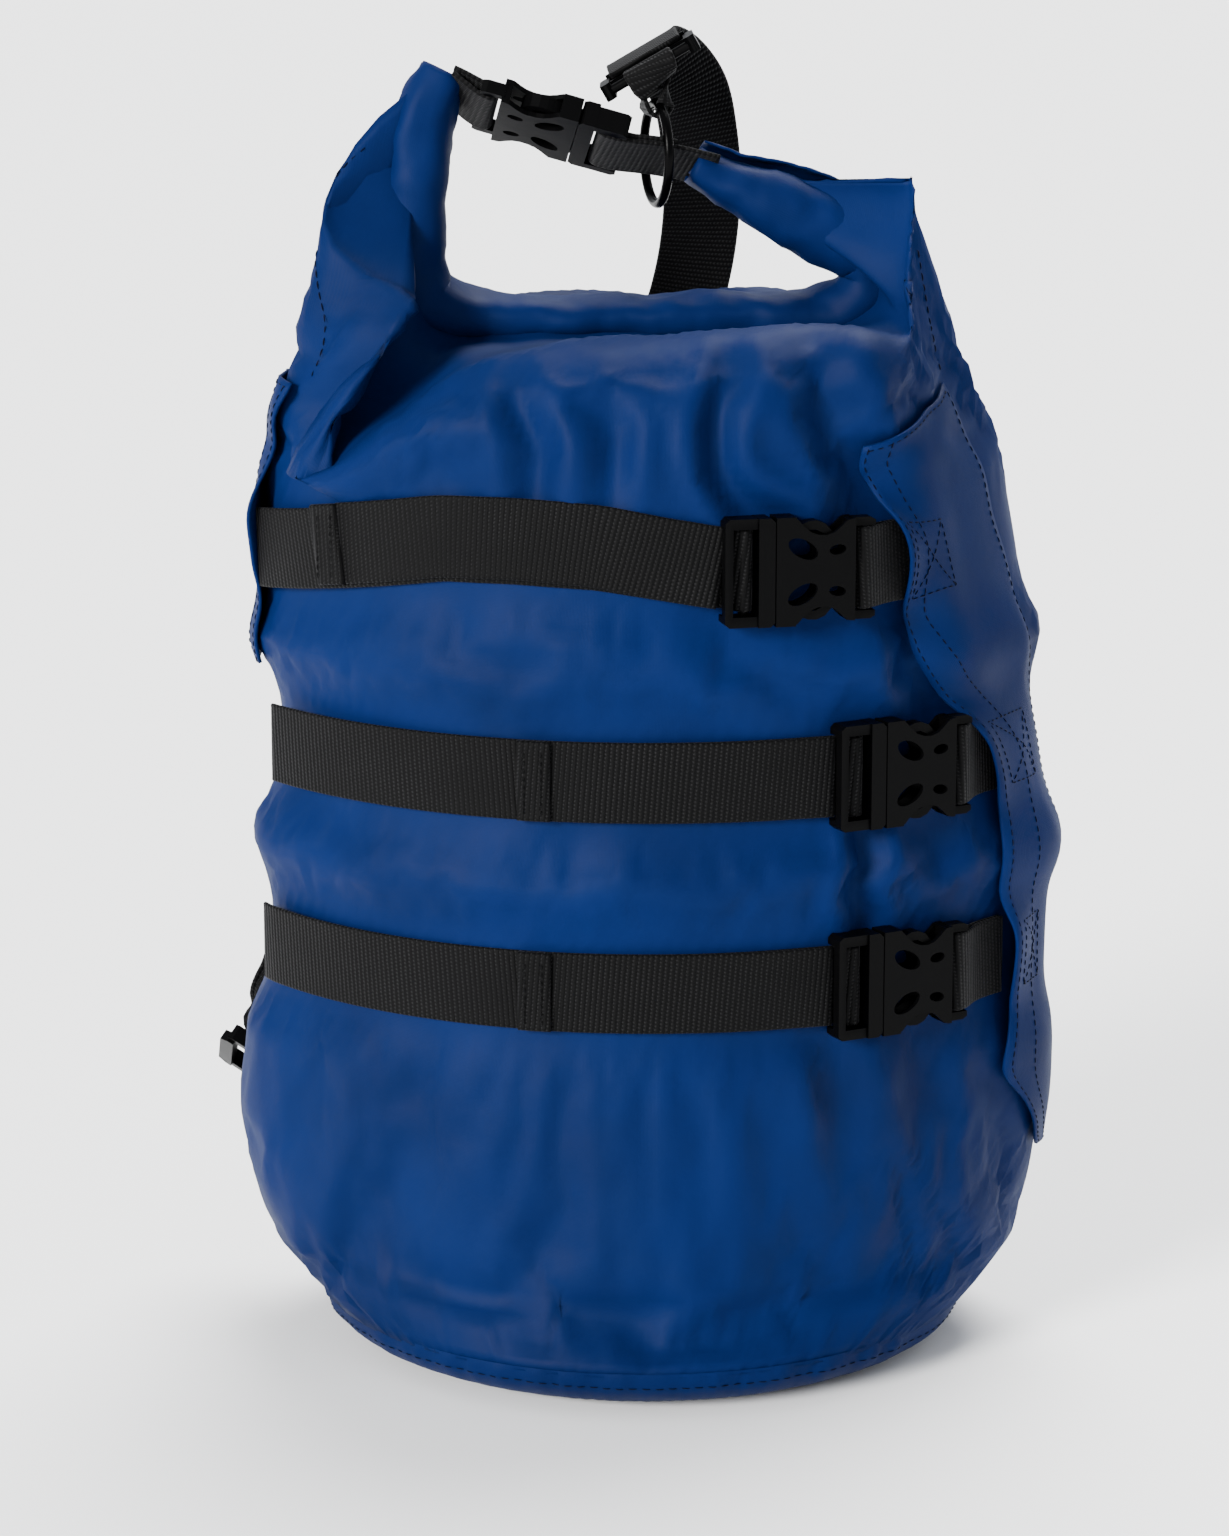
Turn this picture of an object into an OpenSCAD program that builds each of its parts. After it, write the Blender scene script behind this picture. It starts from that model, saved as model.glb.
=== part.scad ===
// Roll-top compression sack, packed and standing upright.
// X is to the right, Y to the back and Z up; the origin is the middle of the base, on the floor.

/* [Sack] */
// Half the width of the packed sack at the straps
half_width = 124; // [122:0.5:126]
// Radius of the curved front and back at the straps
front_radius = 148; // [146:1:150]
// Radius that rounds the two sides
side_radius = 38; // [36:1:40]
// Radius of the sack's tube when it is opened into a circle
tube_radius = 100.8; // [98:0.2:102]
// How far the base is flattened: 0 is a circle, 1 is the strapped shape
base_flat = 0.18; // [0.1:0.02:0.3]
// Height of the domed edge under the base seam
base_dome = 14; // [12:0.5:15]
// Width of the domed edge round the flat patch that the sack stands on
rest_inset = 28; // [20:1:40]
// Height of the packed body below the roll
body_top = 322; // [318:1:322]
// Thickness of the doubled fabric of the two side flaps
wing_thick = 1; // [0.6:0.1:1.2]

/* [Roll closure] */
// Width of the flattened roll, front to back
roll_width = 30; // [28:0.5:34]
// Thickness of the flattened roll
roll_thick = 18; // [14:0.5:18]
// Stiffener strip: length along the roll
stiffener_length = 96; // [60:1:100]

/* [Webbing] */
// Width of every strap
web_width = 25; // [20:0.5:25]
// Thickness of the webbing
web_thick = 1.3; // [1:0.1:1.3]
// Heights of the three compression straps, top strap first
strap_z = [263, 198, 132];
// Angle round the sack's front where each buckle sits
buckle_angle = [14.2, 27.8, 27.8];
// Angle round the front where each free tail ends
tail_angle = [-42, -15, -15];
// Angle round the front where each strap comes out of its left seam
strap_start = [-61, -50, -61];

/* [Buckles] */
// Half the height of a buckle across the strap
buckle_half = 16.5; // [16:0.1:17]
// Inner half height of the female's mouth
mouth_half = 14.5; // [14.4:0.1:14.6]
// Outer thickness of a buckle
buckle_thick = 8.6; // [8.4:0.1:9]
// Distance of a latch arm's pivot from the buckle's middle line
prong_offset = 11.6; // [11.5:0.1:11.7]

/* [Top] */
// Middle of the top buckle's mouth
closure_at = [-22, 0, 386.5];
// Slope of the top buckle, down to the right
closure_slope = 15.7; // [12:0.1:18]
// How far the top buckle's front edge is turned up
closure_tilt = 28; // [20:1:30]
// Radius of the ring's bar centre
ring_radius = 15.4; // [15.3:0.1:15.6]
// Radius of the ring's round bar
ring_bar = 1.5; // [1.3:0.1:1.6]

/* [Hidden] */
blue = "#16448c";
black = "#1b1b1d";
tip = half_width - side_radius;
core_radius = front_radius - side_radius;
arc_back = sqrt(core_radius * core_radius - tip * tip);
tip_angle = asin(tip / core_radius);
shift_per_k = tube_radius - side_radius;
strap_radius = front_radius + 0.2 + web_thick / 2;
buckle_radius = front_radius + 0.3;
round_steps = 24;
oval = [for (i = [0 : 15]) [cos(i * 22.5), sin(i * 22.5)]];

// ---- Points and frames ----

function unit(v) = v / norm(v);
function mix(a, b, t) = a + (b - a) * t;

// The point of the sack's flattened core where the outward normal has angle f from straight ahead.
function core(f) = let (s = sin(f), c = cos(f)) abs(s) >= sin(tip_angle) ? [sign(s) * tip, 0]
    : [core_radius * s, sign(c) * (arc_back - core_radius * abs(c))];

// A point on the sack's skin: k is 0 for a circle and 1 for the strapped shape.
function skin_at(f, z, k, r) = let (p = core(f) * k) [p[0] + r * sin(f), p[1] - r * cos(f), z];
function skin_ring(z, k, r) = [for (i = [0 : 47]) skin_at(i * 7.5, z, k, r)];
function skin_radius(k) = tube_radius - shift_per_k * k;
function oval_ring(x0, x1, z, depth) = [for (p = oval)
    [mix(x0, x1, 0.5) + p[0] * (x1 - x0) / 2, p[1] * depth, z]];

// The two sides of a polyline, offset by half a thickness, as one outline.
function along(p, i) = unit(p[min(i + 1, len(p) - 1)] - p[max(i - 1, 0)]);
function beside(p, i, d) = let (a = along(p, i)) p[i] + [-a[1], a[0]] * d;
function ribbon(p, t) = concat([for (i = [0 : len(p) - 1]) beside(p, i, t / 2)],
    [for (i = [len(p) - 1 : -1 : 0]) beside(p, i, -t / 2)]);

// A section of width and thickness pairs, carried along a path with its width axes.
function carried(path, wide, section) = [for (i = [0 : len(path) - 1])
    let (d = along(path, i), n = unit(cross(d, wide[i])), w = cross(n, d))
        [for (s = section) path[i] + w * s[0] + n * s[1]]];
function flat_section(w, t) = [[-w, -t], [w, -t], [w, t], [-w, t]] / 2;
function round_section(w, t) = [for (p = oval) [p[0] * w, p[1] * t] / 2];

// Arc points of a strap round the front of the sack, seen from above.
function front_arc(a0, a1, r, step = 3) = let (n = ceil(abs(a1 - a0) / step))
    [for (i = [0 : n]) let (a = mix(a0, a1, i / n)) [r * sin(a), arc_back - r * cos(a)]];
// The same, but following the rounded side as well.
function skin_arc(a0, a1, gap, step = 3) = let (n = ceil(abs(a1 - a0) / step))
    [for (i = [0 : n]) let (p = skin_at(mix(a0, a1, i / n), 0, 1, side_radius + gap)) [p[0], p[1]]];

// A point of a front buckle's own plane, x along the strap and n out from the sack.
function in_buckle(a, x, n) = [(buckle_radius + n) * sin(a) + x * cos(a),
    arc_back - (buckle_radius + n) * cos(a) + x * sin(a)];
// Half a turn of webbing round a bar, from angle a0 to a1.
function round_bar(x, n, r, a0, a1) = [for (i = [0 : 8]) let (a = mix(a0, a1, i / 8))
    [x + r * cos(a), n + r * sin(a)]];

module loft(rings) {
    m = len(rings[0]);
    n = len(rings);
    polyhedron(points = [for (r = rings) each r], faces = concat(
        [for (i = [0 : n - 2], j = [0 : m - 1]) let (k = (j + 1) % m)
            each [[i * m + j, (i + 1) * m + j, (i + 1) * m + k], [i * m + j, (i + 1) * m + k, i * m + k]]],
        [[for (j = [0 : m - 1]) j]],
        [[for (j = [m - 1 : -1 : 0]) (n - 1) * m + j]]), convexity = 10);
}

// Puts a piece's own x and z axes along the given ones.
module place(at, x_axis, z_axis) {
    x = unit(x_axis);
    y = unit(cross(z_axis, x));
    z = cross(x, y);
    multmatrix([[x[0], y[0], z[0], at[0]], [x[1], y[1], z[1], at[1]], [x[2], y[2], z[2], at[2]],
        [0, 0, 0, 1]]) children();
}

// A flat outline in x and z, thick from n0 to n1 out of the sack.
module slab(n0, n1) {
    translate([0, -n0, 0]) rotate([90, 0, 0]) linear_extrude(n1 - n0) children();
}

// ---- Sack ----

// Height, core scale and rounding radius of each ring of the body.
body_rings = concat(
    [for (s = [[0, base_flat], [8, 0.35], [20, 0.56], [38, 0.78], [62, 0.94], [90, 1], [240, 1]])
        [base_dome + s[0], s[1], skin_radius(s[1])]],
    [[282, 0.95, 35.5], [300, 0.9, 33], [312, 0.84, 29], [body_top, 0.72, 20]]);

module body_solid() {
    loft([for (s = body_rings) skin_ring(s[0], s[1], s[2])]);
}

module sack_body() color(blue) body_solid();

module base_panel() color(blue) loft([for (i = [0 : 6]) let (a = i * 15)
    skin_ring(base_dome * (1 - cos(a)), base_flat, skin_radius(base_flat) - rest_inset * (1 - sin(a)))]);

// Each ring is height, outer x, inner x and half depth.
left_shoulder_rings = [[270, -113, -86, 38], [310, -111, -85, 30], [335, -110, -84.5, 20],
    [360, -105, -84.5, 14], [380, -97, -82, 10], [396, -88, -78, 8], [404, -80, -72, 6]];
right_shoulder_rings = [[270, 84, 109, 38], [310, 82, 104, 28], [335, 82, 99, 18], [352, 79, 95, 12],
    [365, 68, 91, 9], [373, 54, 88, 7], [378, 40, 85, 5]];

module shoulder(rings) color(blue) loft([for (s = rings) oval_ring(s[1], s[2], s[0], s[3])]);

// ---- Roll closure ----

roll_z = body_top + 0.3 + roll_thick / 2;
left_arm_path = [[-64, 0, roll_z], [-71, 0, roll_z + 4], [-75, 0, roll_z + 12], [-75.5, 0, roll_z + 28],
    [-74, 0, roll_z + 42], [-70, 0, roll_z + 56]];
right_arm_path = [[58, 0, roll_z], [68, 0, roll_z + 3], [73, 0, roll_z + 10], [71, 0, roll_z + 18],
    [62, 0, roll_z + 23], [47, 0, roll_z + 30], [31, 0, roll_z + 38], [17, 0, roll_z + 45]];

module roll_piece(path, w0, w1) color(blue) {
    n = len(path) - 1;
    loft([for (i = [0 : n]) carried(path, [for (p = path) [0, 1, 0]],
        round_section(roll_width, mix(w0, w1, i / n)))[i]]);
}

module roll_middle() color(blue) difference() {
    roll_piece([[-64, 0, roll_z], [-32, 0, roll_z], [0, 0, roll_z], [30, 0, roll_z], [58, 0, roll_z]],
        roll_thick, roll_thick);
    stiffener_box();
}
module stiffener_box() translate([-3, 0, roll_z]) cube([stiffener_length, 20, 1.6], center = true);
module roll_stiffener() color("#303236") stiffener_box();

// ---- Wings: the side flaps that the compression straps pull on ----

// Each row is height, angle of the free edge and angle of the seam.
right_wing_rows = [[62, 78, 104], [72, 66, 104], [88, 50, 103], [116, 47.5, 100], [140, 47, 96],
    [160, 45.5, 91],
    [183, 44.3, 84], [205, 40, 73], [222, 36.5, 64], [245, 31.2, 55], [267, 30.5, 50], [287, 28.2, 49],
    [300, 27.4, 48], [312, 28, 47]];
left_wing_rows = [[222, -72, -110], [230, -66, -111], [246, -62, -112], [275, -61, -111],
    [292, -60, -109], [303, -57, -106], [312, -54, -102]];

function body_k(z) = lookup(z, [for (s = body_rings) [s[0], s[1]]]);
function body_r(z) = lookup(z, [for (s = body_rings) [s[0], s[2]]]);
// The flap stands furthest off the sack at its free edge, where the webbing lies under it.
function wing_gap(t) = mix(3.3, 0.3, pow(t, 3));
function wing_side(s, off) = [for (i = [0 : 8]) let (f = mix(s[1], s[2], i / 8))
    skin_at(f, s[0], body_k(s[0]), body_r(s[0]) + wing_gap(i / 8) + off)];
function reversed(p) = [for (i = [len(p) - 1 : -1 : 0]) p[i]];

module wing(rows) color(blue) loft([for (s = rows)
    s[1] > 0 ? concat(wing_side(s, 0), reversed(wing_side(s, wing_thick)))
    : concat(wing_side(s, wing_thick), reversed(wing_side(s, 0)))]);

// ---- Compression straps ----

bar_x = -8.9;
bar_n = 3.1;
bar_r = 1.5;
wrap_r = bar_r + 0.15 + web_thick / 2;
tail_start = -15.2;
tail_fold = 3.6;
tail_r = strap_radius + web_thick + 0.3;

module web_strip(points, z, thick = web_thick) color(black)
    translate([0, 0, z]) linear_extrude(web_width, center = true) polygon(ribbon(points, thick));

// The run from the left wing to the lock bar, round the bar and back under the end bar.
module strap(i) {
    a = buckle_angle[i];
    local = concat([[-22, -0.9], [-17, 0.1], [-12, 0.72]], round_bar(bar_x, bar_n, wrap_r, -80, 100),
        [[-11.4, 4.3], [-13.3, 3.0]]);
    web_strip(concat(skin_arc(strap_start[i], a - 12, strap_radius - front_radius),
        [for (p = local) in_buckle(a, p[0], p[1])]), strap_z[i]);
}

// The free tail, lying on the run. It grows as the strap is pulled tight.
module strap_tail(i) {
    a = buckle_angle[i];
    start = [for (p = [[tail_start, 2.5], [-19, 1.6]]) in_buckle(a, p[0], p[1])];
    web_strip(concat(start, front_arc(a - 11, tail_angle[i] + tail_fold, tail_r)), strap_z[i]);
}

// The end of the tail, folded over and sewn. It goes round the sack with the pulled tail.
module tail_end(i) web_strip(front_arc(tail_angle[i] + tail_fold - 0.15, tail_angle[i],
    tail_r + web_thick / 2, 1.2), strap_z[i], 2 * web_thick);

// The doubled webbing between the right wing and the female's end bar.
end_bar_x = 28.2;
end_bar_n = 4.4;
anchor_low = [[56, -9.5], [48, -6.6], [41, -4.1], [34, -0.3]];
anchor_high = [[34, 4.4], [41, -2.0], [48, -5.2], [56, -8.1]];
module anchor(i) web_strip([for (p = concat(anchor_low,
    round_bar(end_bar_x, end_bar_n, wrap_r, 290, 70), anchor_high)) in_buckle(buckle_angle[i], p[0], p[1])],
    strap_z[i]);

// ---- Side-release buckle: x along the strap, mouth at x = 0, the male on the minus side ----

plate_half = [[0, buckle_half], [4.6, buckle_half], [6.6, 15.8], [8.6, 13.6], [10.6, 11.9], [13, 11],
    [15.5, 10.8], [18, 11.6], [20, 13.2], [21.6, 14.8], [23, 15.4], [24.6, 15.5]];
function mirrored(p) = concat(p, [for (i = [len(p) - 1 : -1 : 0]) [p[i][0], -p[i][1]]]);

module window_shape(x, z, long, wide, turn) translate([x, z]) rotate(turn)
    polygon([for (i = [0 : round_steps - 1]) [long * cos(i * 15), wide * sin(i * 15)]]);

module female_plate() difference() {
    polygon(mirrored(plate_half));
    for (s = [-1, 1]) {
        window_shape(8.2, s * 6.9, 5, 2.7, s * -28);
        window_shape(19, s * 6.3, 2.6, 1.5, s * 8);
    }
}

module female_buckle() color(black) {
    difference() {
        union() {
            for (n = [0.6, buckle_thick - 1.6]) slab(n, n + 1.6) female_plate();
            // Side walls of the mouth and the solid web at the back of the cavity.
            slab(0.6, buckle_thick) for (s = [-1, 1])
                translate([0, s > 0 ? mouth_half : -buckle_half]) square([6.2, buckle_half - mouth_half]);
            slab(0.6, buckle_thick) translate([22, -15.2]) square([2.6, 30.4]);
            // Rails that carry the end bar.
            slab(2.4, 6.6) for (s = [-1, 1]) polygon([[24, s * 12.9], [31.4, s * 12.9], [31.4, s * 14.6],
                [29.8, s * 15.5], [24, s * 15.5]]);
            translate([end_bar_x, -end_bar_n, 0]) cylinder(r = bar_r, h = 26.4, center = true, $fn = 24);
        }
    }
}

latch_low = 2.5;
latch_high = 6.8;
pivot_x = -2.6;
male_block = [[-5.4, -16.5], [-1.6, -16.5], [-0.3, -15.2], [-0.3, 15.2], [-1.6, 16.5], [-5.4, 16.5]];

module male_buckle() color(black) {
    difference() {
        union() {
            slab(0.5, buckle_thick - 0.2) polygon(male_block);
            slab(0.5, 7.6) for (s = [-1, 1]) polygon([[-15.6, s * 13.2], [-5.2, s * 13.2], [-5.2, s * 16.4],
                [-14.2, s * 16.4], [-15.6, s * 15.2]]);
            // End bar above the webbing, with a thumb lip.
            slab(4.2, 7.6) translate([-15.6, -14]) square([2.5, 28]);
            translate([bar_x, -bar_n, 0]) cylinder(r = bar_r, h = 27, center = true, $fn = 24);
            slab(latch_low, latch_high) polygon([[-1, -1.9], [13, -1.9], [14.4, -0.8], [14.4, 0.8], [13, 1.9],
                [-1, 1.9]]);
        }
        for (s = [-1, 1]) {
            translate([pivot_x, -latch_low + 0.25, s * prong_offset]) rotate([90, 0, 0])
                cylinder(r = 1.55, h = latch_high - latch_low + 0.5, $fn = 32);
            slab(latch_low - 0.25, latch_high + 0.25)
                polygon([[pivot_x, s * (prong_offset - 1.45)], [pivot_x, s * (prong_offset + 1.45)],
                    [0, s * (prong_offset + 1.9)], [0, s * (prong_offset - 2.4)]]);
        }
    }
}

// One latch arm: a springy strut with a thumb pad that shows in the female's waist.
latch_arm = [[pivot_x, 12.8], [0, 12.9], [4, 13.3], [8.3, 14.15], [10.5, 14.95], [13, 15.05], [15.6, 14.0],
    [17.6, 11.8], [18.2, 9.8], [16.9, 9.3], [15.2, 11.0], [12.6, 12.3], [9.6, 12.2], [7, 11.3], [3, 10.7],
    [0, 10.5], [pivot_x, 10.4]];
module latch(s) color(black) {
    slab(latch_low, latch_high) polygon([for (p = latch_arm) [p[0], s * p[1]]]);
    translate([pivot_x, -latch_low, s * prong_offset]) rotate([90, 0, 0])
        cylinder(r = 1.3, h = latch_high - latch_low, $fn = 32);
}

module at_buckle(i) {
    a = buckle_angle[i];
    p = in_buckle(a, 0, 0);
    place([p[0], p[1], strap_z[i]], [cos(a), sin(a), 0], [0, 0, 1]) children();
}

// ---- Top buckle, ring and shoulder strap ----

module at_closure() translate(closure_at) rotate([0, closure_slope, 0]) rotate([-closure_tilt, 0, 0])
    rotate([-90, 0, 180]) translate([0, end_bar_n, 0]) children();

// In the closure buckle's own x and n: the left loop goes to the roll's end, the right one to the right arm.
left_loop = concat([[44, 12], [40, 10.2], [35, 8.2]], round_bar(end_bar_x, end_bar_n, wrap_r, 60, 295),
    [[33, 3.4], [38, 6.8], [44, 9.6]]);
right_loop = concat([[-45, 4.4], [-34, 4], [-26, 3.1], [-20, 2], [-16, 1.2], [-12, 0.72]],
    round_bar(bar_x, bar_n, wrap_r, -80, 100), [[-11.4, 4.3], [-13.3, 3.2], [-16, 2.9], [-20, 3.8], [-26, 4.9],
    [-31, 5.4]]);
module side_web(points) color(black) linear_extrude(web_width, center = true)
    polygon(ribbon([for (p = points) [p[0], -p[1]]], web_thick));

ring_at = [3.2, 0, 379.8];
ring_turn = 14;
module ring() color(black) translate(ring_at) rotate([0, 90, ring_turn]) rotate_extrude($fn = 48)
    translate([ring_radius, 0]) circle(r = ring_bar, $fn = 16);

// Ladder lock: x points to the fixed bar, z along the bars, n out of the plate.
fixed_bar_x = 8.5;
lock_bar_x = -0.5;
module ladder_lock() color(black) {
    for (s = [-1, 1]) slab(0, 5.2) polygon([[-12, s * 13.2], [9.4, s * 13.2], [11, s * 14.4], [11, s * 15.4],
        [9.8, s * 16.5], [-10.5, s * 16.5], [-12, s * 15.6]]);
    translate([fixed_bar_x, -2.6, 0]) cylinder(r = bar_r, h = 27, center = true, $fn = 24);
    slab(1.2, 4.6) translate([lock_bar_x - 1.6, -14]) square([3.2, 28]);
    slab(2.6, 6.2) polygon([[-14.4, -12], [-11.6, -14], [-9.4, -14], [-9.4, 14], [-11.6, 14], [-14.4, 12]]);
}

adjuster_at = [2.5, 6, 404];
adjuster_z = [0.866, 0, 0.5];
adjuster_x = [0, -1, 0];
adjuster_out = [-0.5, 0, 0.866];

// The webbing loop that hangs the ring on the adjuster's fixed bar, twisted a quarter turn on the way.
loop_top = adjuster_at + adjuster_x * fixed_bar_x + adjuster_out * 2.6;
loop_end = ring_at + [0, 0, ring_radius];
loop_down = unit(loop_end - loop_top);
bar_axis = unit(adjuster_z);
bar_down = unit(loop_down - bar_axis * (bar_axis * loop_down));
bar_side = unit(cross(loop_down, adjuster_z));
ring_axis = [-sin(ring_turn), cos(ring_turn), 0];
ring_side = unit(cross(loop_down, ring_axis));
ring_down = unit(loop_down - ring_axis * (ring_axis * loop_down));
loop_twist = acos(bar_side * ring_side);
function loop_side(s) = let (u = max(0, (s - 0.25) / 0.75), a = loop_twist * u * u * (3 - 2 * u),
    b = unit(ring_side - bar_side * (bar_side * ring_side))) bar_side * cos(a) + b * sin(a);
function loop_at(s, out, down = 0) = mix(loop_top, loop_end, s) + loop_side(s) * out + loop_down * down;
top_r = wrap_r + 0.7;
end_r = 5;
loop_path = concat([for (s = [0.45, 0.3, 0.15]) loop_at(s, mix(top_r, end_r, s))],
    [for (a = [0 : 30 : 180]) loop_top + (bar_side * cos(a) - bar_down * sin(a)) * top_r],
    [for (s = [0.15, 0.3, 0.45, 0.6, 0.8]) loop_at(s, -mix(top_r, end_r, s))],
    [for (a = [180 : -30 : 0]) loop_end + (ring_side * cos(a) + ring_down * sin(a)) * end_r],
    [for (s = [0.8, 0.6]) loop_at(s, mix(top_r, end_r, s))]);
loop_s = concat([0.45, 0.3, 0.15], [for (a = [0 : 30 : 180]) 0], [0.15, 0.3, 0.45, 0.6, 0.8],
    [for (a = [180 : -30 : 0]) 1], [0.8, 0.6]);
loop_wide = [for (s = loop_s) s == 0 ? bar_axis : s == 1 ? ring_axis : cross(loop_side(s), loop_down)];
module ring_webbing() color(black) loft([for (i = [0 : len(loop_path) - 1])
    carried(loop_path, loop_wide, flat_section(mix(10, 6, loop_s[i]), web_thick))[i]]);

lower_at = [-126.5, 41, 76];
lower_x = [0.84, -0.2, -0.5];
lower_z = [0.1, -0.85, 0.52];
strap_path = [[-127.5, 41, 78.6], [-132, 43.5, 81.5], [-130.5, 51, 86], [-123, 59, 98], [-112, 66, 118],
    [-99, 72, 143], [-74, 79, 175], [-48, 86, 212], [-23, 88.5, 252], [0, 88.5, 290], [14, 82, 325], [18.5, 69, 354],
    [17.5, 56, 380], [13, 44, 398], [5, 34, 407.5], [-1, 25, 410.3], [-1.3, 18, 410.6], [-0.95, 12, 410],
    [-0.4, 6, 409]];
strap_wide = [lower_z, lower_z, [0, -0.6, 0.8], [-0.05, -0.35, 0.94], [-0.25, -0.35, 0.9], [-0.5, -0.3, 0.8],
    [-0.75, -0.2, 0.62], [-0.85, -0.1, 0.5], [-0.88, 0, 0.45], [-0.92, 0, 0.35], [-0.98, 0, 0.15], [-1, 0, 0],
    [-1, 0, -0.1], [-0.95, 0, -0.3], [-0.9, 0, -0.42], [-0.87, 0, -0.5], [-0.87, 0, -0.5], [-0.87, 0, -0.5],
    [-0.87, 0, -0.5]];
module shoulder_strap() color(black) loft(carried(strap_path, strap_wide, flat_section(web_width, 1.6)));

lower_loop = concat([[26, -4.4]], [[17, -1.2]], round_bar(fixed_bar_x, 2.6, wrap_r, 290, 70), [[17, 1.9]],
    [[26, -2.6]]);
module at_lower() place(lower_at, lower_x, lower_z) children();
module lower_webbing() at_lower() side_web(lower_loop);
// The fabric tab that joins the lower webbing to the seam of the sack.
module lower_tab() color(blue) at_lower() loft([for (s = [[18, 11, 3.2], [23, 12.5, 4.4], [32, 11, 6]])
    [for (p = oval) [s[0], -p[1] * s[2] / 2 + (s[0] - 18) * 0.3 - 0.3, p[0] * s[1]]]]);

sack_body();
base_panel();
shoulder(left_shoulder_rings);  // left_shoulder
shoulder(right_shoulder_rings);  // right_shoulder
roll_middle();
roll_piece(left_arm_path, roll_thick, 15);  // roll_left_arm
roll_piece(right_arm_path, roll_thick, 12);  // roll_right_arm
roll_stiffener();
wing(left_wing_rows);  // left_wing
wing(right_wing_rows);  // right_wing
strap(0);  // top_strap
strap(1);  // middle_strap
strap(2);  // bottom_strap
strap_tail(0);  // top_tail
strap_tail(1);  // middle_tail
strap_tail(2);  // bottom_tail
tail_end(0);  // top_tail_end
tail_end(1);  // middle_tail_end
tail_end(2);  // bottom_tail_end
anchor(0);  // top_anchor
anchor(1);  // middle_anchor
anchor(2);  // bottom_anchor
at_buckle(0) female_buckle();  // top_female
at_buckle(1) female_buckle();  // middle_female
at_buckle(2) female_buckle();  // bottom_female
at_buckle(0) male_buckle();  // top_male
at_buckle(1) male_buckle();  // middle_male
at_buckle(2) male_buckle();  // bottom_male
at_buckle(0) latch(1);  // top_latch_upper
at_buckle(1) latch(1);  // middle_latch_upper
at_buckle(2) latch(1);  // bottom_latch_upper
at_buckle(0) latch(-1);  // top_latch_lower
at_buckle(1) latch(-1);  // middle_latch_lower
at_buckle(2) latch(-1);  // bottom_latch_lower
at_closure() female_buckle();  // closure_female
at_closure() male_buckle();  // closure_male
at_closure() latch(1);  // closure_latch_front
at_closure() latch(-1);  // closure_latch_back
at_closure() side_web(left_loop);  // closure_left_webbing
at_closure() side_web(right_loop);  // closure_right_webbing
ring();
ring_webbing();
place(adjuster_at, adjuster_x, adjuster_z) ladder_lock();  // shoulder_adjuster
shoulder_strap();
at_lower() ladder_lock();  // lower_adjuster
lower_webbing();
lower_tab();
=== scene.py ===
"""Roll-top compression sack: fabric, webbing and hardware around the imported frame.

All shapes are worked out in millimetres in the object's own frame (X right, Y back, Z up) and
scaled to metres when a mesh is made.
"""

import math

import bpy
import numpy as np
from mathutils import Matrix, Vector
from mathutils.bvhtree import BVHTree
from mathutils.noise import fractal


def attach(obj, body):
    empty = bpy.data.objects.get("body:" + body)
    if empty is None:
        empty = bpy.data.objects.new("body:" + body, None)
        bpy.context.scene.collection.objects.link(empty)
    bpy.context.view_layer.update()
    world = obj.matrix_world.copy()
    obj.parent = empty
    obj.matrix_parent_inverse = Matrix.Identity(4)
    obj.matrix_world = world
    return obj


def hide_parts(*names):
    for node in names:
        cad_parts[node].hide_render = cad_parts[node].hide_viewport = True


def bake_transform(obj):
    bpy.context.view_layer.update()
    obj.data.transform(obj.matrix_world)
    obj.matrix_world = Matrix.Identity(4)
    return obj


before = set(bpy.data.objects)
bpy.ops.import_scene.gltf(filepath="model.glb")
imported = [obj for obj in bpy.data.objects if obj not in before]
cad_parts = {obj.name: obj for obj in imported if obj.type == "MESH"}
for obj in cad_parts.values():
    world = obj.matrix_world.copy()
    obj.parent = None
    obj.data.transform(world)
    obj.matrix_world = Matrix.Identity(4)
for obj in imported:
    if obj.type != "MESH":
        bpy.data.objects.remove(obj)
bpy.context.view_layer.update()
MM = 0.001

# ---- camera and lights

ELEVATION = math.radians(13)
DISTANCE = 1.42
SENSOR = 24
SEEN_HEIGHT = 0.4915
TARGET = Vector((-0.0098, 0.0, 0.1842))


def add_camera():
    data = bpy.data.cameras.new("camera")
    data.sensor_fit = "VERTICAL"
    data.sensor_height = SENSOR
    data.lens = SENSOR * DISTANCE / SEEN_HEIGHT
    camera = bpy.data.objects.new("camera", data)
    bpy.context.scene.collection.objects.link(camera)
    away = Vector((0, -math.cos(ELEVATION), math.sin(ELEVATION)))
    camera.location = TARGET + away * DISTANCE
    camera.rotation_euler = (-away).to_track_quat("-Z", "Y").to_euler()
    bpy.context.scene.camera = camera


def add_light(name, place, size, power, colour=(1, 1, 1)):
    data = bpy.data.lights.new(name, "AREA")
    data.shape = "DISK"
    data.size = size
    data.energy = power
    data.color = colour
    aim(name, data, place)


def add_sun(name, place, angle, strength, colour=(1, 1, 1)):
    data = bpy.data.lights.new(name, "SUN")
    data.angle = math.radians(angle)
    data.energy = strength
    data.color = colour
    aim(name, data, place)


def aim(name, data, place):
    lamp = bpy.data.objects.new(name, data)
    lamp.location = place
    lamp.rotation_euler = (Vector(place) - Vector((0, 0, 0.2))).to_track_quat("Z", "Y").to_euler()
    bpy.context.scene.collection.objects.link(lamp)


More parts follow.
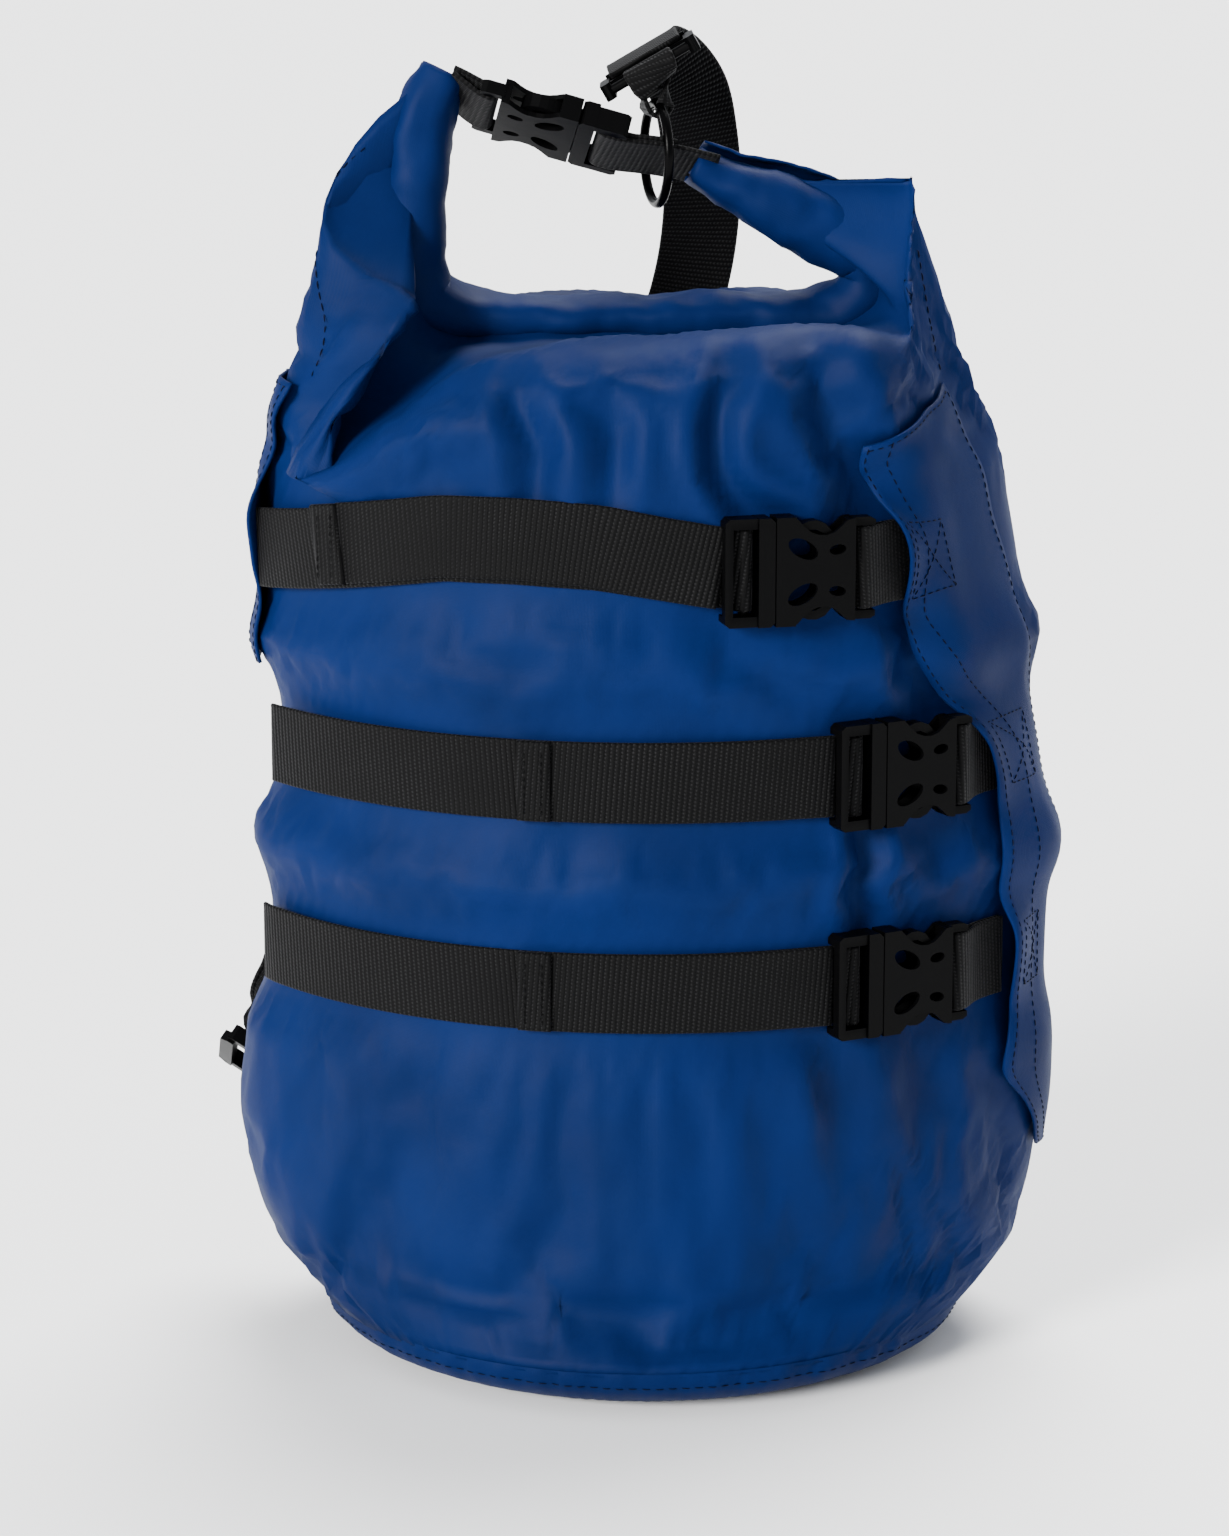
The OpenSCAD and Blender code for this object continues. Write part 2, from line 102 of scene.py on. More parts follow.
def add_studio():
    world = bpy.data.worlds.new("studio")
    world.use_nodes = True
    world.node_tree.nodes["Background"].inputs["Color"].default_value = (0.93, 0.96, 1, 1)
    world.node_tree.nodes["Background"].inputs["Strength"].default_value = 0.95
    bpy.context.scene.world = world
    add_sun("key", (-1.15, -1.25, 0.78), 20, 8.5, (1, 0.99, 0.97))
    add_sun("top", (0.25, 0.75, 1.6), 40, 6.5)
    add_light("fill", (1.3, -1.2, 0.5), 1.0, 0.6, (0.93, 0.96, 1))
    bpy.ops.mesh.primitive_circle_add(vertices=128, radius=14, fill_type="NGON")
    floor = bpy.context.object
    floor.name = "floor"
    floor.data.materials.append(floor_material())


# ---- materials

def new_material(name, colour, roughness, **sockets):
    material = bpy.data.materials.new(name)
    material.use_nodes = True
    shader = material.node_tree.nodes["Principled BSDF"]
    shader.inputs["Base Color"].default_value = (*colour, 1)
    shader.inputs["Roughness"].default_value = roughness
    for socket, value in sockets.items():
        shader.inputs[socket.replace("_", " ")].default_value = value
    return material, material.node_tree, shader


def node(tree, kind, inputs=None, **settings):
    """A new node with its settings; an input is a plain value or the socket that feeds it."""
    made = tree.nodes.new(kind)
    for key, value in settings.items():
        setattr(made, key, value)
    for key, value in (inputs or {}).items():
        if isinstance(value, bpy.types.NodeSocket):
            tree.links.new(value, made.inputs[key])
        else:
            made.inputs[key].default_value = value
    return made


def noise(tree, vector, scale, detail=3, rough=0.5):
    return node(tree, "ShaderNodeTexNoise",
                {"Vector": vector, "Scale": scale, "Detail": detail, "Roughness": rough}).outputs["Fac"]


def maths(tree, operation, a, b=0.0, clamp=False):
    return node(tree, "ShaderNodeMath", {0: a, 1: b}, operation=operation, use_clamp=clamp).outputs[0]


def ramp(tree, factor, stops):
    made = node(tree, "ShaderNodeValToRGB", {"Fac": factor})
    while len(made.color_ramp.elements) < len(stops):
        made.color_ramp.elements.new(0.5)
    for element, (place, colour) in zip(made.color_ramp.elements, stops):
        element.position = place
        element.color = (*colour, 1)
    return made.outputs["Color"]


def object_place(tree):
    return node(tree, "ShaderNodeTexCoord").outputs["Object"]


def span(tree, factor, low, high):
    return node(tree, "ShaderNodeMapRange", {"Value": factor, "To Min": low, "To Max": high}).outputs["Result"]


def bump(tree, height, strength, distance, normal=None):
    inputs = {"Height": height, "Strength": strength, "Distance": distance}
    if normal is not None:
        inputs["Normal"] = normal
    return node(tree, "ShaderNodeBump", inputs).outputs["Normal"]


def sine(tree, value, period, phase=None):
    """A wave from 0 to 1 with the given period along value."""
    angle = maths(tree, "MULTIPLY", value, 2 * math.pi / period)
    if phase is not None:
        angle = maths(tree, "ADD", angle, phase)
    return maths(tree, "MULTIPLY_ADD", maths(tree, "SINE", angle), 0.5)


def uv_axes(tree):
    """The UV map in metres: along, across."""
    uv = node(tree, "ShaderNodeUVMap", uv_map="UVMap").outputs["UV"]
    split = node(tree, "ShaderNodeSeparateXYZ", {"Vector": uv})
    return uv, split.outputs["X"], split.outputs["Y"]


def nylon_material(name="nylon", deep=(0.0001, 0.0048, 0.034), lit=(0.0001, 0.0072, 0.050)):
    """Coated nylon: a fine plain weave, faint crush marks and a soft sheen."""
    material, tree, shader = new_material(name, lit, 0.6, Sheen_Weight=0.01, Sheen_Roughness=0.4,
                                          Sheen_Tint=(0.25, 0.45, 1, 1), Specular_IOR_Level=0.06)
    place = object_place(tree)
    cloudy = noise(tree, place, 14, 4)
    tree.links.new(ramp(tree, cloudy, [(0.3, deep), (0.62, lit)]), shader.inputs["Base Color"])
    tree.links.new(span(tree, noise(tree, place, 60, 3), 0.50, 0.66), shader.inputs["Roughness"])
    _, along, across = uv_axes(tree)
    weave = maths(tree, "MULTIPLY", sine(tree, along, 0.00042), sine(tree, across, 0.00042))
    crush = noise(tree, place, 95, 5, 0.62)
    creases = noise(tree, place, 32, 4, 0.55)
    normal = bump(tree, weave, 0.35, 0.00008)
    normal = bump(tree, crush, 0.16, 0.0009, normal)
    tree.links.new(bump(tree, creases, 0.16, 0.0022, normal), shader.inputs["Normal"])
    return material


def webbing_material():
    """Ribbed nylon webbing: cross ribs with a slight twill slant, with a painted highlight on their crests that
    varies in tone at random.
    """
    material, tree, shader = new_material("webbing", (0.003, 0.003, 0.003), 0.62, Sheen_Weight=0.03,
                                          Sheen_Roughness=0.5, Sheen_Tint=(0.8, 0.8, 0.85, 1),
                                          Specular_IOR_Level=0.06)
    uv, along, across = uv_axes(tree)
    place = object_place(tree)
    wobble = maths(tree, "MULTIPLY", noise(tree, uv, 420, 2), 1.6)
    slant = maths(tree, "ADD", wobble, maths(tree, "MULTIPLY", across, 2 * math.pi / 0.022))
    rib = sine(tree, along, 0.00165, slant)
    pick = sine(tree, across, 0.00115, maths(tree, "MULTIPLY", along, 2 * math.pi / 0.0033))
    thread = maths(tree, "MULTIPLY", maths(tree, "POWER", rib, 1.6), span(tree, pick, 0.45, 1.0))
    # Painted highlight: the rib crests are painted paler than the black webbing, scaled by a random tone noise.
    painted_light = maths(tree, "MULTIPLY", thread, span(tree, noise(tree, place, 40, 3), 0.55, 1.25))
    tree.links.new(ramp(tree, painted_light, [(0.12, (0.0003, 0.0003, 0.0004)), (0.55, (0.0011, 0.0011, 0.0012)),
                                     (0.98, (0.0105, 0.0105, 0.0110))]), shader.inputs["Base Color"])
    tree.links.new(bump(tree, thread, 0.9, 0.00035), shader.inputs["Normal"])
    return material


def plastic_material(name="buckle_plastic", roughness=(0.30, 0.44)):
    """Moulded acetal with a fine spark-eroded grain, a painted highlight on its convex edges and painted shade in
    its hollows.
    """
    material, tree, shader = new_material(name, (0.0002, 0.0002, 0.0003), 0.36, Specular_IOR_Level=0.035)
    place = object_place(tree)
    patchy = noise(tree, place, 70, 3)
    edge = node(tree, "ShaderNodeNewGeometry").outputs["Pointiness"]
    # Painted highlight and shade: pointiness makes convex edges lighter and concave corners darker.
    painted_light = span(tree, edge, 0.0, 1.0)
    tint = ramp(tree, painted_light, [(0.47, (0.0001, 0.0001, 0.0002)), (0.56, (0.0009, 0.0009, 0.0010))])
    tree.links.new(tint, shader.inputs["Base Color"])
    tree.links.new(span(tree, patchy, *roughness), shader.inputs["Roughness"])
    grain = noise(tree, place, 2600, 2)
    scuffs = noise(tree, place, 240, 4, 0.6)
    normal = bump(tree, grain, 0.12, 0.0001)
    tree.links.new(bump(tree, scuffs, 0.08, 0.0005, normal), shader.inputs["Normal"])
    return material


def thread_material(name, colour):
    """Twisted sewing thread."""
    material, tree, shader = new_material(name, colour, 0.7, Sheen_Weight=0.02, Sheen_Roughness=0.4,
                                          Specular_IOR_Level=0.05)
    place = object_place(tree)
    twist = noise(tree, place, 3000, 2)
    darker = tuple(c * 0.55 for c in colour)
    tree.links.new(ramp(tree, twist, [(0.35, darker), (0.65, colour)]), shader.inputs["Base Color"])
    tree.links.new(bump(tree, twist, 0.4, 0.0001), shader.inputs["Normal"])
    return material


def floor_material():
    material, tree, shader = new_material("floor", (0.93, 0.93, 0.93), 0.7, Specular_IOR_Level=0.1)
    place = object_place(tree)
    tree.links.new(span(tree, noise(tree, place, 30, 3), 0.66, 0.74), shader.inputs["Roughness"])
    return material


# ---- mesh helpers

def unit(v):
    v = np.asarray(v, float)
    return v / np.maximum(np.linalg.norm(v, axis=-1, keepdims=True), 1e-12)


def smooth(t):
    t = np.clip(t, 0, 1)
    return t * t * (3 - 2 * t)


def spline(keys, values, x):
    """Catmull-Rom through values (scalars or points) at increasing keys."""
    keys = np.asarray(keys, float)
    values = np.asarray(values, float)
    if values.ndim == 1:
        values = values[:, None]
    slope = np.gradient(values, keys, axis=0)
    x = np.clip(np.asarray(x, float), keys[0], keys[-1])
    i = np.clip(np.searchsorted(keys, x, side="right") - 1, 0, len(keys) - 2)
    width = (keys[i + 1] - keys[i])[:, None]
    t = ((x - keys[i])[:, None]) / width
    a, b, ma, mb = values[i], values[i + 1], slope[i] * width, slope[i + 1] * width
    out = ((2 * t**3 - 3 * t**2 + 1) * a + (t**3 - 2 * t**2 + t) * ma
           + (3 * t**2 - 2 * t**3) * b + (t**3 - t**2) * mb)
    return out[:, 0] if out.shape[1] == 1 else out


def distances(points):
    """How far along a line of points each one lies."""
    return np.concatenate([[0], np.cumsum(np.linalg.norm(np.diff(points, axis=0), axis=1))])


def columns_at(places, keys, values):
    """Each column of values, read at places along keys."""
    return np.stack([np.interp(places, keys, values[:, k]) for k in range(values.shape[1])], 1)


def even_path(points, count):
    """count points at equal steps along a smooth curve through the given ones."""
    points = np.asarray(points, float)
    keys = distances(points)
    fine = spline(keys, points, np.linspace(0, keys[-1], count * 8))
    length = distances(fine)
    steps = np.linspace(0, length[-1], count)
    return columns_at(steps, length, fine)


def make_mesh(name, points, faces, material, uvs=None, shade=True):
    """An object from points in mm; uvs holds one pair in metres per point."""
    data = bpy.data.meshes.new(name)
    data.from_pydata([tuple(p) for p in np.asarray(points, float) * MM], [], faces)
    data.materials.append(material)
    if uvs is not None:
        layer = data.uv_layers.new(name="UVMap")
        corners = np.empty(len(data.loops), np.int32)
        data.loops.foreach_get("vertex_index", corners)
        layer.data.foreach_set("uv", np.asarray(uvs, np.float32)[corners].ravel())
    data.polygons.foreach_set("use_smooth", [shade] * len(data.polygons))
    obj = bpy.data.objects.new(name, data)
    bpy.context.scene.collection.objects.link(obj)
    return obj


def grid_faces(rows, cols, wrap=False, flip=False):
    last = cols if wrap else cols - 1
    quads = [(i * cols + j, i * cols + (j + 1) % cols, (i + 1) * cols + (j + 1) % cols, (i + 1) * cols + j)
             for i in range(rows - 1) for j in range(last)]
    return [q[::-1] for q in quads] if flip else quads


def apply_modifiers(obj):
    graph = bpy.context.evaluated_depsgraph_get()
    final = bpy.data.meshes.new_from_object(obj.evaluated_get(graph))
    obj.modifiers.clear()
    old = obj.data
    obj.data = final
    if old.users == 0:
        bpy.data.meshes.remove(old)


def solidify(obj, thickness, offset=-1.0):
    modifier = obj.modifiers.new("thickness", "SOLIDIFY")
    modifier.thickness = thickness * MM
    modifier.offset = offset
    apply_modifiers(obj)


def carried(path, wide, section):
    """A closed section of (across, out) pairs carried along a path with its width axes."""
    path, wide = np.asarray(path, float), np.asarray(wide, float)
    ahead = unit(np.gradient(path, axis=0))
    out = unit(np.cross(ahead, wide))
    side = np.cross(out, ahead)
    section = np.asarray(section, float)
    if section.ndim == 2:
        section = np.repeat(section[None], len(path), 0)
    return path[:, None] + side[:, None] * section[..., :1] + out[:, None] * section[..., 1:]


def tube_mesh(name, rings, material, uvs=None):
    """Closed rings joined into a skin with flat caps."""
    rows, cols = rings.shape[:2]
    faces = grid_faces(rows, cols, wrap=True)
    faces += [tuple(range(cols))[::-1], tuple((rows - 1) * cols + j for j in range(cols))]
    return make_mesh(name, rings.reshape(-1, 3), faces, material, uvs)


def ribbon_section(width, thick):
    """A flat strap's section with rounded, slightly thicker selvedges."""
    w, t = width / 2, thick / 2
    half = [(-w, 0), (-w + 0.15, 0.7 * t), (-w + 0.6, 1.08 * t), (-w + 1.3, 0.98 * t), (-w * 0.45, t), (0, t),
            (w * 0.45, t), (w - 1.3, 0.98 * t), (w - 0.6, 1.08 * t), (w - 0.15, 0.7 * t), (w, 0)]
    return np.array(half + [(x, -y) for x, y in half[-2:0:-1]])


def stitches(name, line, normals, material, length=2.5, gap=0.9, radius=0.22, lift=0.1):
    """Thread stitches along a line that lies on a surface: one small spindle for each stitch."""
    line = np.asarray(line, float)
    walked = distances(line)
    normals = np.asarray(normals, float)
    points, faces = [], []
    start = gap / 2
    while start + length <= walked[-1]:
        at = np.linspace(start, start + length, 5)
        middle = columns_at(at, walked, line)
        out = unit(columns_at(at, walked, normals))
        ahead = unit(np.gradient(middle, axis=0))
        side = np.cross(ahead, out)
        base = len(points)
        for k, swell in enumerate((0.35, 0.9, 1.0, 0.9, 0.35)):
            rise = lift - (radius * 1.1 if k in (0, 4) else 0)
            for turn in range(6):
                a = turn * math.pi / 3
                around = side[k] * math.cos(a) + out[k] * math.sin(a)
                points.append(middle[k] + out[k] * rise + radius * swell * around)
        for k in range(4):
            faces += [(base + k * 6 + j, base + k * 6 + (j + 1) % 6, base + (k + 1) * 6 + (j + 1) % 6,
                       base + (k + 1) * 6 + j) for j in range(6)]
        faces += [tuple(base + j for j in range(6))[::-1], tuple(base + 24 + j for j in range(6))]
        start += length + gap
    return make_mesh(name, points, faces, material)


NYLON = nylon_material()
WEBBING = webbing_material()
PLASTIC = plastic_material()
RING_PLASTIC = plastic_material("ring_plastic", (0.2, 0.3))
BLUE_THREAD = thread_material("blue_thread", (0.0002, 0.0014, 0.0085))
BLACK_THREAD = thread_material("black_thread", (0.004, 0.004, 0.0044))

# ---- the sack's fabric

TIP = 86.0
SIDE_RADIUS = 38.0
CORE_RADIUS = 110.0
ARC_BACK = math.sqrt(CORE_RADIUS**2 - TIP**2)
TIP_ANGLE = math.asin(TIP / CORE_RADIUS)
FRONT_RADIUS = CORE_RADIUS + SIDE_RADIUS
TUBE_RADIUS = 100.8
SEAM_Z = 14.0
STRAP_Z = np.array([263.0, 198.0, 132.0])
WEB_WIDTH = 25.0


def core(f):
    s, c = np.sin(f), np.cos(f)
    on_tip = np.abs(s) >= math.sin(TIP_ANGLE)
    x = np.where(on_tip, np.sign(s) * TIP, CORE_RADIUS * s)
    y = np.where(on_tip, 0.0, np.sign(c) * (ARC_BACK - CORE_RADIUS * np.abs(c)))
    return np.stack([x, y], -1)


def skin(f, k, r):
    outward = np.stack([np.sin(f), -np.cos(f)], -1)
    return core(f) * np.asarray(k)[..., None] + outward * np.asarray(r)[..., None]


def turn_for(girth):
    """The normal's angle at a distance round the strapped section, from the front's middle."""
    turns = np.radians(np.linspace(-180, 180, 1441))
    outline = skin(turns, np.ones(1441), np.full(1441, SIDE_RADIUS))
    walked = distances(outline)
    walked -= walked[720]
    return np.interp(girth, walked, turns), walked[-1]


COLUMNS = 224
_, HALF = turn_for(np.zeros(1))
GIRTH = np.linspace(-HALF, HALF, COLUMNS, endpoint=False)
TURN, _ = turn_for(GIRTH)
EDGE = HALF / 2
FRONT = np.abs(GIRTH) <= EDGE

# Half widths of the filled sack to the left and right at each height.
WIDTH_Z = [14, 24, 46, 75, 100, 132, 165, 198, 225, 250, 279]
LEFT_X = [104, 112, 121.5, 127, 124.5, 120, 120.5, 115.5, 118.5, 119.5, 119]
RIGHT_X = [104, 112, 120.5, 124.5, 126, 126.5, 127, 124, 120.5, 118, 113]
TOP_ROW_Z = 274.0
# How much of the strapped section's core is left at each height: 0 is round, 1 is the full flattened shape.
FLAT_Z = [14, 22, 34, 52, 76, 104, 254, 282, 312, 330]
FLATNESS = [0.18, 0.35, 0.56, 0.78, 0.94, 1, 1, 0.95, 0.84, 0.7]


def strap_rise(name, x):
    """The top strap bows upwards between the sack's side and its buckle."""
    if name != "top":
        return np.zeros_like(np.asarray(x, float))
    return np.interp(x, [-122, -95, -62, -40, -14, 5, 22, 36], [-4, 1, 7, 7.5, 6.5, 3.5, 1, 0])


def strap_bulge(x, z):
    """How far the filling pushes the fabric out between the straps, from 0 to 1."""
    rises = np.stack([strap_rise("top", x), np.zeros_like(x), np.zeros_like(x)])
    near = np.abs(z[None] - STRAP_Z[:, None] - rises).min(0)
    return smooth((near - WEB_WIDTH / 2) / 20)


def lower_rows(levels):
    flat = np.interp(levels, FLAT_Z, FLATNESS)
    radius = TUBE_RADIUS - (TUBE_RADIUS - SIDE_RADIUS) * flat
    left = spline(WIDTH_Z, LEFT_X, levels)
    right = spline(WIDTH_Z, RIGHT_X, levels)
    rows = []
    for z, k, r, xl, xr in zip(levels, flat, radius, left, right):
        bare = skin(TURN, np.full(COLUMNS, k), np.full(COLUMNS, r))
        full = strap_bulge(bare[:, 0], np.full(COLUMNS, z)) * np.interp(z, [40, 110], [0, 1])
        p = skin(TURN, np.full(COLUMNS, k), r + 3.6 * full)
        wide = TIP * k + r
        scale = np.where(p[:, 0] < 0, xl / wide, xr / wide)
        side = smooth(np.abs(p[:, 0]) / wide)
        p[:, 0] *= 1 + (scale - 1) * side
        rows.append(np.column_stack([p, np.full(COLUMNS, z)]))
    return np.array(rows)


# Where the front sheet turns over at the top: distance along the sheet, then the point.
FRONT_RIDGE = [
    (-158, (-67, -4, 403)), (-152, (-84, -9, 389)), (-146, (-97, -14, 372)), (-140, (-98, -20, 357)),
    (-134, (-85, -28, 346)), (-128, (-72, -34, 339)), (-122, (-73, -37, 333)), (-116, (-84, -38, 321)),
    (-109, (-97, -36, 307)), (-102, (-110, -33, 287)), (-95, (-98, -41, 288)), (-86, (-81, -47, 301)),
    (-73, (-63, -50, 315)), (-60, (-50, -51, 322)), (-42, (-34, -51, 326)), (-20, (-15, -50, 329)),
    (0, (2, -49, 330)), (20, (18, -48, 331.5)), (45, (42, -46, 332)), (68, (62, -44, 331.5)),
    (88, (78, -39, 329)), (98, (80, -35, 332)), (110, (79.5, -30, 339)), (124, (80.5, -24, 350)),
    (138, (82, -16, 360)), (149, (83, -10, 369)), (158, (82.5, -5, 373.5))]
# The same for the back sheet.
BACK_RIDGE = [
    (-158, (-67, -4, 403)), (-146, (-92, 6, 372)), (-134, (-92, 16, 352)), (-118, (-86, 26, 337)),
    (-96, (-76, 36, 330)), (-70, (-60, 42, 330)), (-30, (-26, 46, 331)), (0, (2, 46, 331)),
    (35, (33, 44, 332)), (70, (64, 38, 332)), (96, (78, 28, 338)), (118, (83, 20, 352)),
    (138, (84, 10, 364)), (158, (82.5, -5, 373.5))]
# The line along which the flattened mouth is rolled up, from the left tip to the right one.
ROLL_LINE = [(-63, 1, 405), (-66.5, 0, 398), (-69.5, 0, 388), (-72.5, 0, 373), (-74, 1, 358), (-73.5, 2, 344),
             (-69, 4, 334), (-58, 5, 329), (-30, 5, 328), (0, 5, 328), (30, 5, 328), (54, 5, 329),
             (66, 4, 333), (72, 3, 341), (70, 2, 349.5), (61, 1, 355), (46, 0, 361.5), (31, 0, 369), (15, 0, 377)]
LEFT_SHARE, RIGHT_SHARE = 76.0, 58.0


def roll_point(s):
    """The point of the roll line that the sheet's distance s runs up to."""
    path = even_path(ROLL_LINE, 400)
    walked = distances(path)
    left = walked[np.argmin(np.linalg.norm(path - np.array((-66, 4, 332)), axis=1))]
    right = walked[np.argmin(np.linalg.norm(path - np.array((58, 5, 330)), axis=1))]
    at = np.interp(s, [-158.4, -LEFT_SHARE, RIGHT_SHARE, 158.4], [0, left, right, walked[-1]])
    return columns_at(at, walked, path)


def bezier(p0, p1, p2, p3, t):
    return ((1 - t)**3 * p0 + 3 * (1 - t)**2 * t * p1 + 3 * (1 - t) * t**2 * p2 + t**3 * p3)


def upper_rows(first, below, up_steps, over_steps):
    """Rows from the last strapped row up to the ridges and over them to the roll line."""
    s = np.where(FRONT, GIRTH, np.sign(GIRTH) * (2 * EDGE - np.abs(GIRTH)))
    keys_f = [k for k, _ in FRONT_RIDGE]
    keys_b = [k for k, _ in BACK_RIDGE]
    ridge = np.where(FRONT[:, None], spline(keys_f, [p for _, p in FRONT_RIDGE], s),
                     spline(keys_b, [p for _, p in BACK_RIDGE], s))
    roll = roll_point(s)
    sign = np.where(FRONT, -1.0, 1.0)[:, None]
    depth = 1 - smooth((np.abs(s) - 60) / 90)[:, None]
    rise = unit(first - below)
    height = (ridge[:, 2:] - first[:, 2:])
    lean = np.column_stack([np.zeros(COLUMNS), sign[:, 0], np.zeros(COLUMNS)])
    p1 = first + rise * height * 0.45
    over = ridge[:, 2:] < 345
    p2 = ridge + lean * (24 * depth + 4) + np.array([0, 0, 1.0]) * np.where(over, -0.5, -0.22 * height)
    rows = [bezier(first, p1, p2, ridge, t) for t in np.linspace(0, 1, up_steps + 1)[1:]]
    # Over the ridge the sheet dives towards the roll, with a sagging hollow between.
    hollow = np.column_stack([np.zeros(COLUMNS), -sign[:, 0] * 12, np.full(COLUMNS, -2.0)])
    dip = np.minimum(0, roll[:, 2:] - ridge[:, 2:]) * 0.3 - 5.0
    q1 = ridge + hollow * (0.35 + 0.65 * depth)
    end = roll + lean * (2.5 + 4 * depth) + np.column_stack([np.zeros((COLUMNS, 2)), np.full(COLUMNS, -2.0)])
    q2 = end + lean * 9 * depth + np.column_stack([np.zeros((COLUMNS, 2)), dip])
    rows += [bezier(ridge, q1, q2, end, t) for t in np.linspace(0, 1, over_steps + 1)[1:]]
    return np.array(rows)


# Soft folds pressed into the fabric: path of (x, z) points on the front, depth, half width.
FRONT_FOLDS = [
    ([(25, 323), (21, 306), (22, 293), (30, 282), (41, 276)], 5.5, 4.6),
    ([(50, 328), (55, 312), (61, 296), (67, 281)], 7.0, 7.5),
    ([(-41, 318), (-36, 306), (-34, 290), (-35, 280)], 4.2, 5.5),
    ([(-11, 312), (-10, 298), (-11, 284)], 3.6, 5.0),
    ([(-70, 300), (-62, 291), (-55, 283)], 1.8, 7.0),
    ([(-92, 303), (-82, 310), (-70, 317), (-56, 322)], 6.5, 8.0),
    ([(66, 186), (67, 172), (66, 160), (69, 148)], 6.5, 4.2),
    ([(84, 182), (90, 171), (92, 158)], 2.6, 5.0),
    ([(52, 116), (60, 104), (63, 92), (61, 80)], 3.2, 6.0),
    ([(82, 118), (88, 104), (90, 90)], 2.2, 7.0),
    ([(-66, 114), (-72, 102), (-84, 92)], 1.5, 8.0),
    ([(-20, 183), (-26, 172), (-40, 163)], 1.4, 8.0),
    ([(-60, 250), (-52, 240), (-40, 233)], 1.3, 8.0),
    ([(18, 250), (26, 238), (40, 228), (58, 222)], 2.0, 7.0),
    ([(74, 250), (80, 240), (83, 228), (88, 216)], 5.5, 6.0),
    ([(-100, 186), (-96, 172), (-98, 158)], 1.6, 7.0),
    ([(-20, 30), (10, 26), (40, 30)], 1.2, 8.0)]
BACK_FOLDS = [
    ([(-60, 300), (-50, 270), (-56, 240)], 3.0, 9.0), ([(30, 310), (20, 280), (26, 250), (16, 225)], 3.0, 9.0),
    ([(70, 300), (76, 260), (70, 220)], 3.2, 10.0), ([(-20, 200), (-30, 170), (-24, 140)], 2.0, 10.0),
    ([(60, 180), (52, 140), (60, 105)], 2.2, 10.0), ([(-80, 130), (-70, 100), (-76, 70)], 2.0, 9.0)]


def press_folds(points, normals, folds, facing):
    """Moves points inwards along each fold's line, with a small swelling beside it."""
    towards = normals[:, 1] * facing
    for line, depth, half in folds:
        path = even_path([(x, 0, z) for x, z in line], 40)[:, [0, 2]]
        away = np.linalg.norm(points[:, None, [0, 2]] - path[None], axis=2)
        near = away.argmin(1)
        dist = away[np.arange(len(points)), near] / half
        taper = np.sin(np.pi * np.clip((near + 3) / 45, 0, 1))**0.6
        shape = np.exp(-dist**2) - 0.45 * np.exp(-(dist - 1.9)**2 * 1.2)
        amount = depth * taper * shape * smooth(towards * 2.5)
        points = points - normals * amount[:, None]
    return points


def grid_normals(rows):
    ring = np.roll(rows, -1, 1) - np.roll(rows, 1, 1)
    up = np.gradient(rows, axis=0)
    return unit(np.cross(ring, up))


def fabric_noise(points, scale, seed):
    start = Vector((seed, seed * 2, seed * 3))
    return np.array([fractal(Vector(p) * scale + start, 1.0, 2.0, 3) for p in points])


LOWER_LEVELS = np.linspace(SEAM_Z, TOP_ROW_Z, 66)
UP_STEPS, OVER_STEPS = 22, 14
CLOTH_FRAMES = 16
MOST_MOVED = 5.0


def shape_fabric():
    low = lower_rows(LOWER_LEVELS)
    high = upper_rows(low[-1], low[-2], UP_STEPS, OVER_STEPS)
    rows = np.concatenate([low, high])
    shape = rows.shape
    normals = grid_normals(rows).reshape(-1, 3)
    flat = rows.reshape(-1, 3)
    flat = press_folds(flat, normals, FRONT_FOLDS, -1)
    flat = press_folds(flat, normals, BACK_FOLDS, 1)
    crumple = fabric_noise(flat, 0.026, 3.1) * 1.1 + fabric_noise(flat * (1, 1, 0.5), 0.075, 7.7) * 0.4
    z = flat[:, 2]
    calm = smooth((z - 16) / 40) * (0.15 + 0.85 * strap_bulge(flat[:, 0], z))
    last = np.repeat(np.arange(shape[0]), shape[1]) < shape[0] - 3
    return (flat + normals * (crumple * calm * last)[:, None]).reshape(shape)


def fabric_uv(rows):
    length = np.linalg.norm(np.diff(rows, axis=0), axis=2).mean(1)
    height = np.concatenate([[0], np.cumsum(length)])
    uv = np.empty((*rows.shape[:2], 2))
    uv[..., 0] = GIRTH[None] * MM
    uv[..., 1] = height[:, None] * MM
    return uv.reshape(-1, 2)


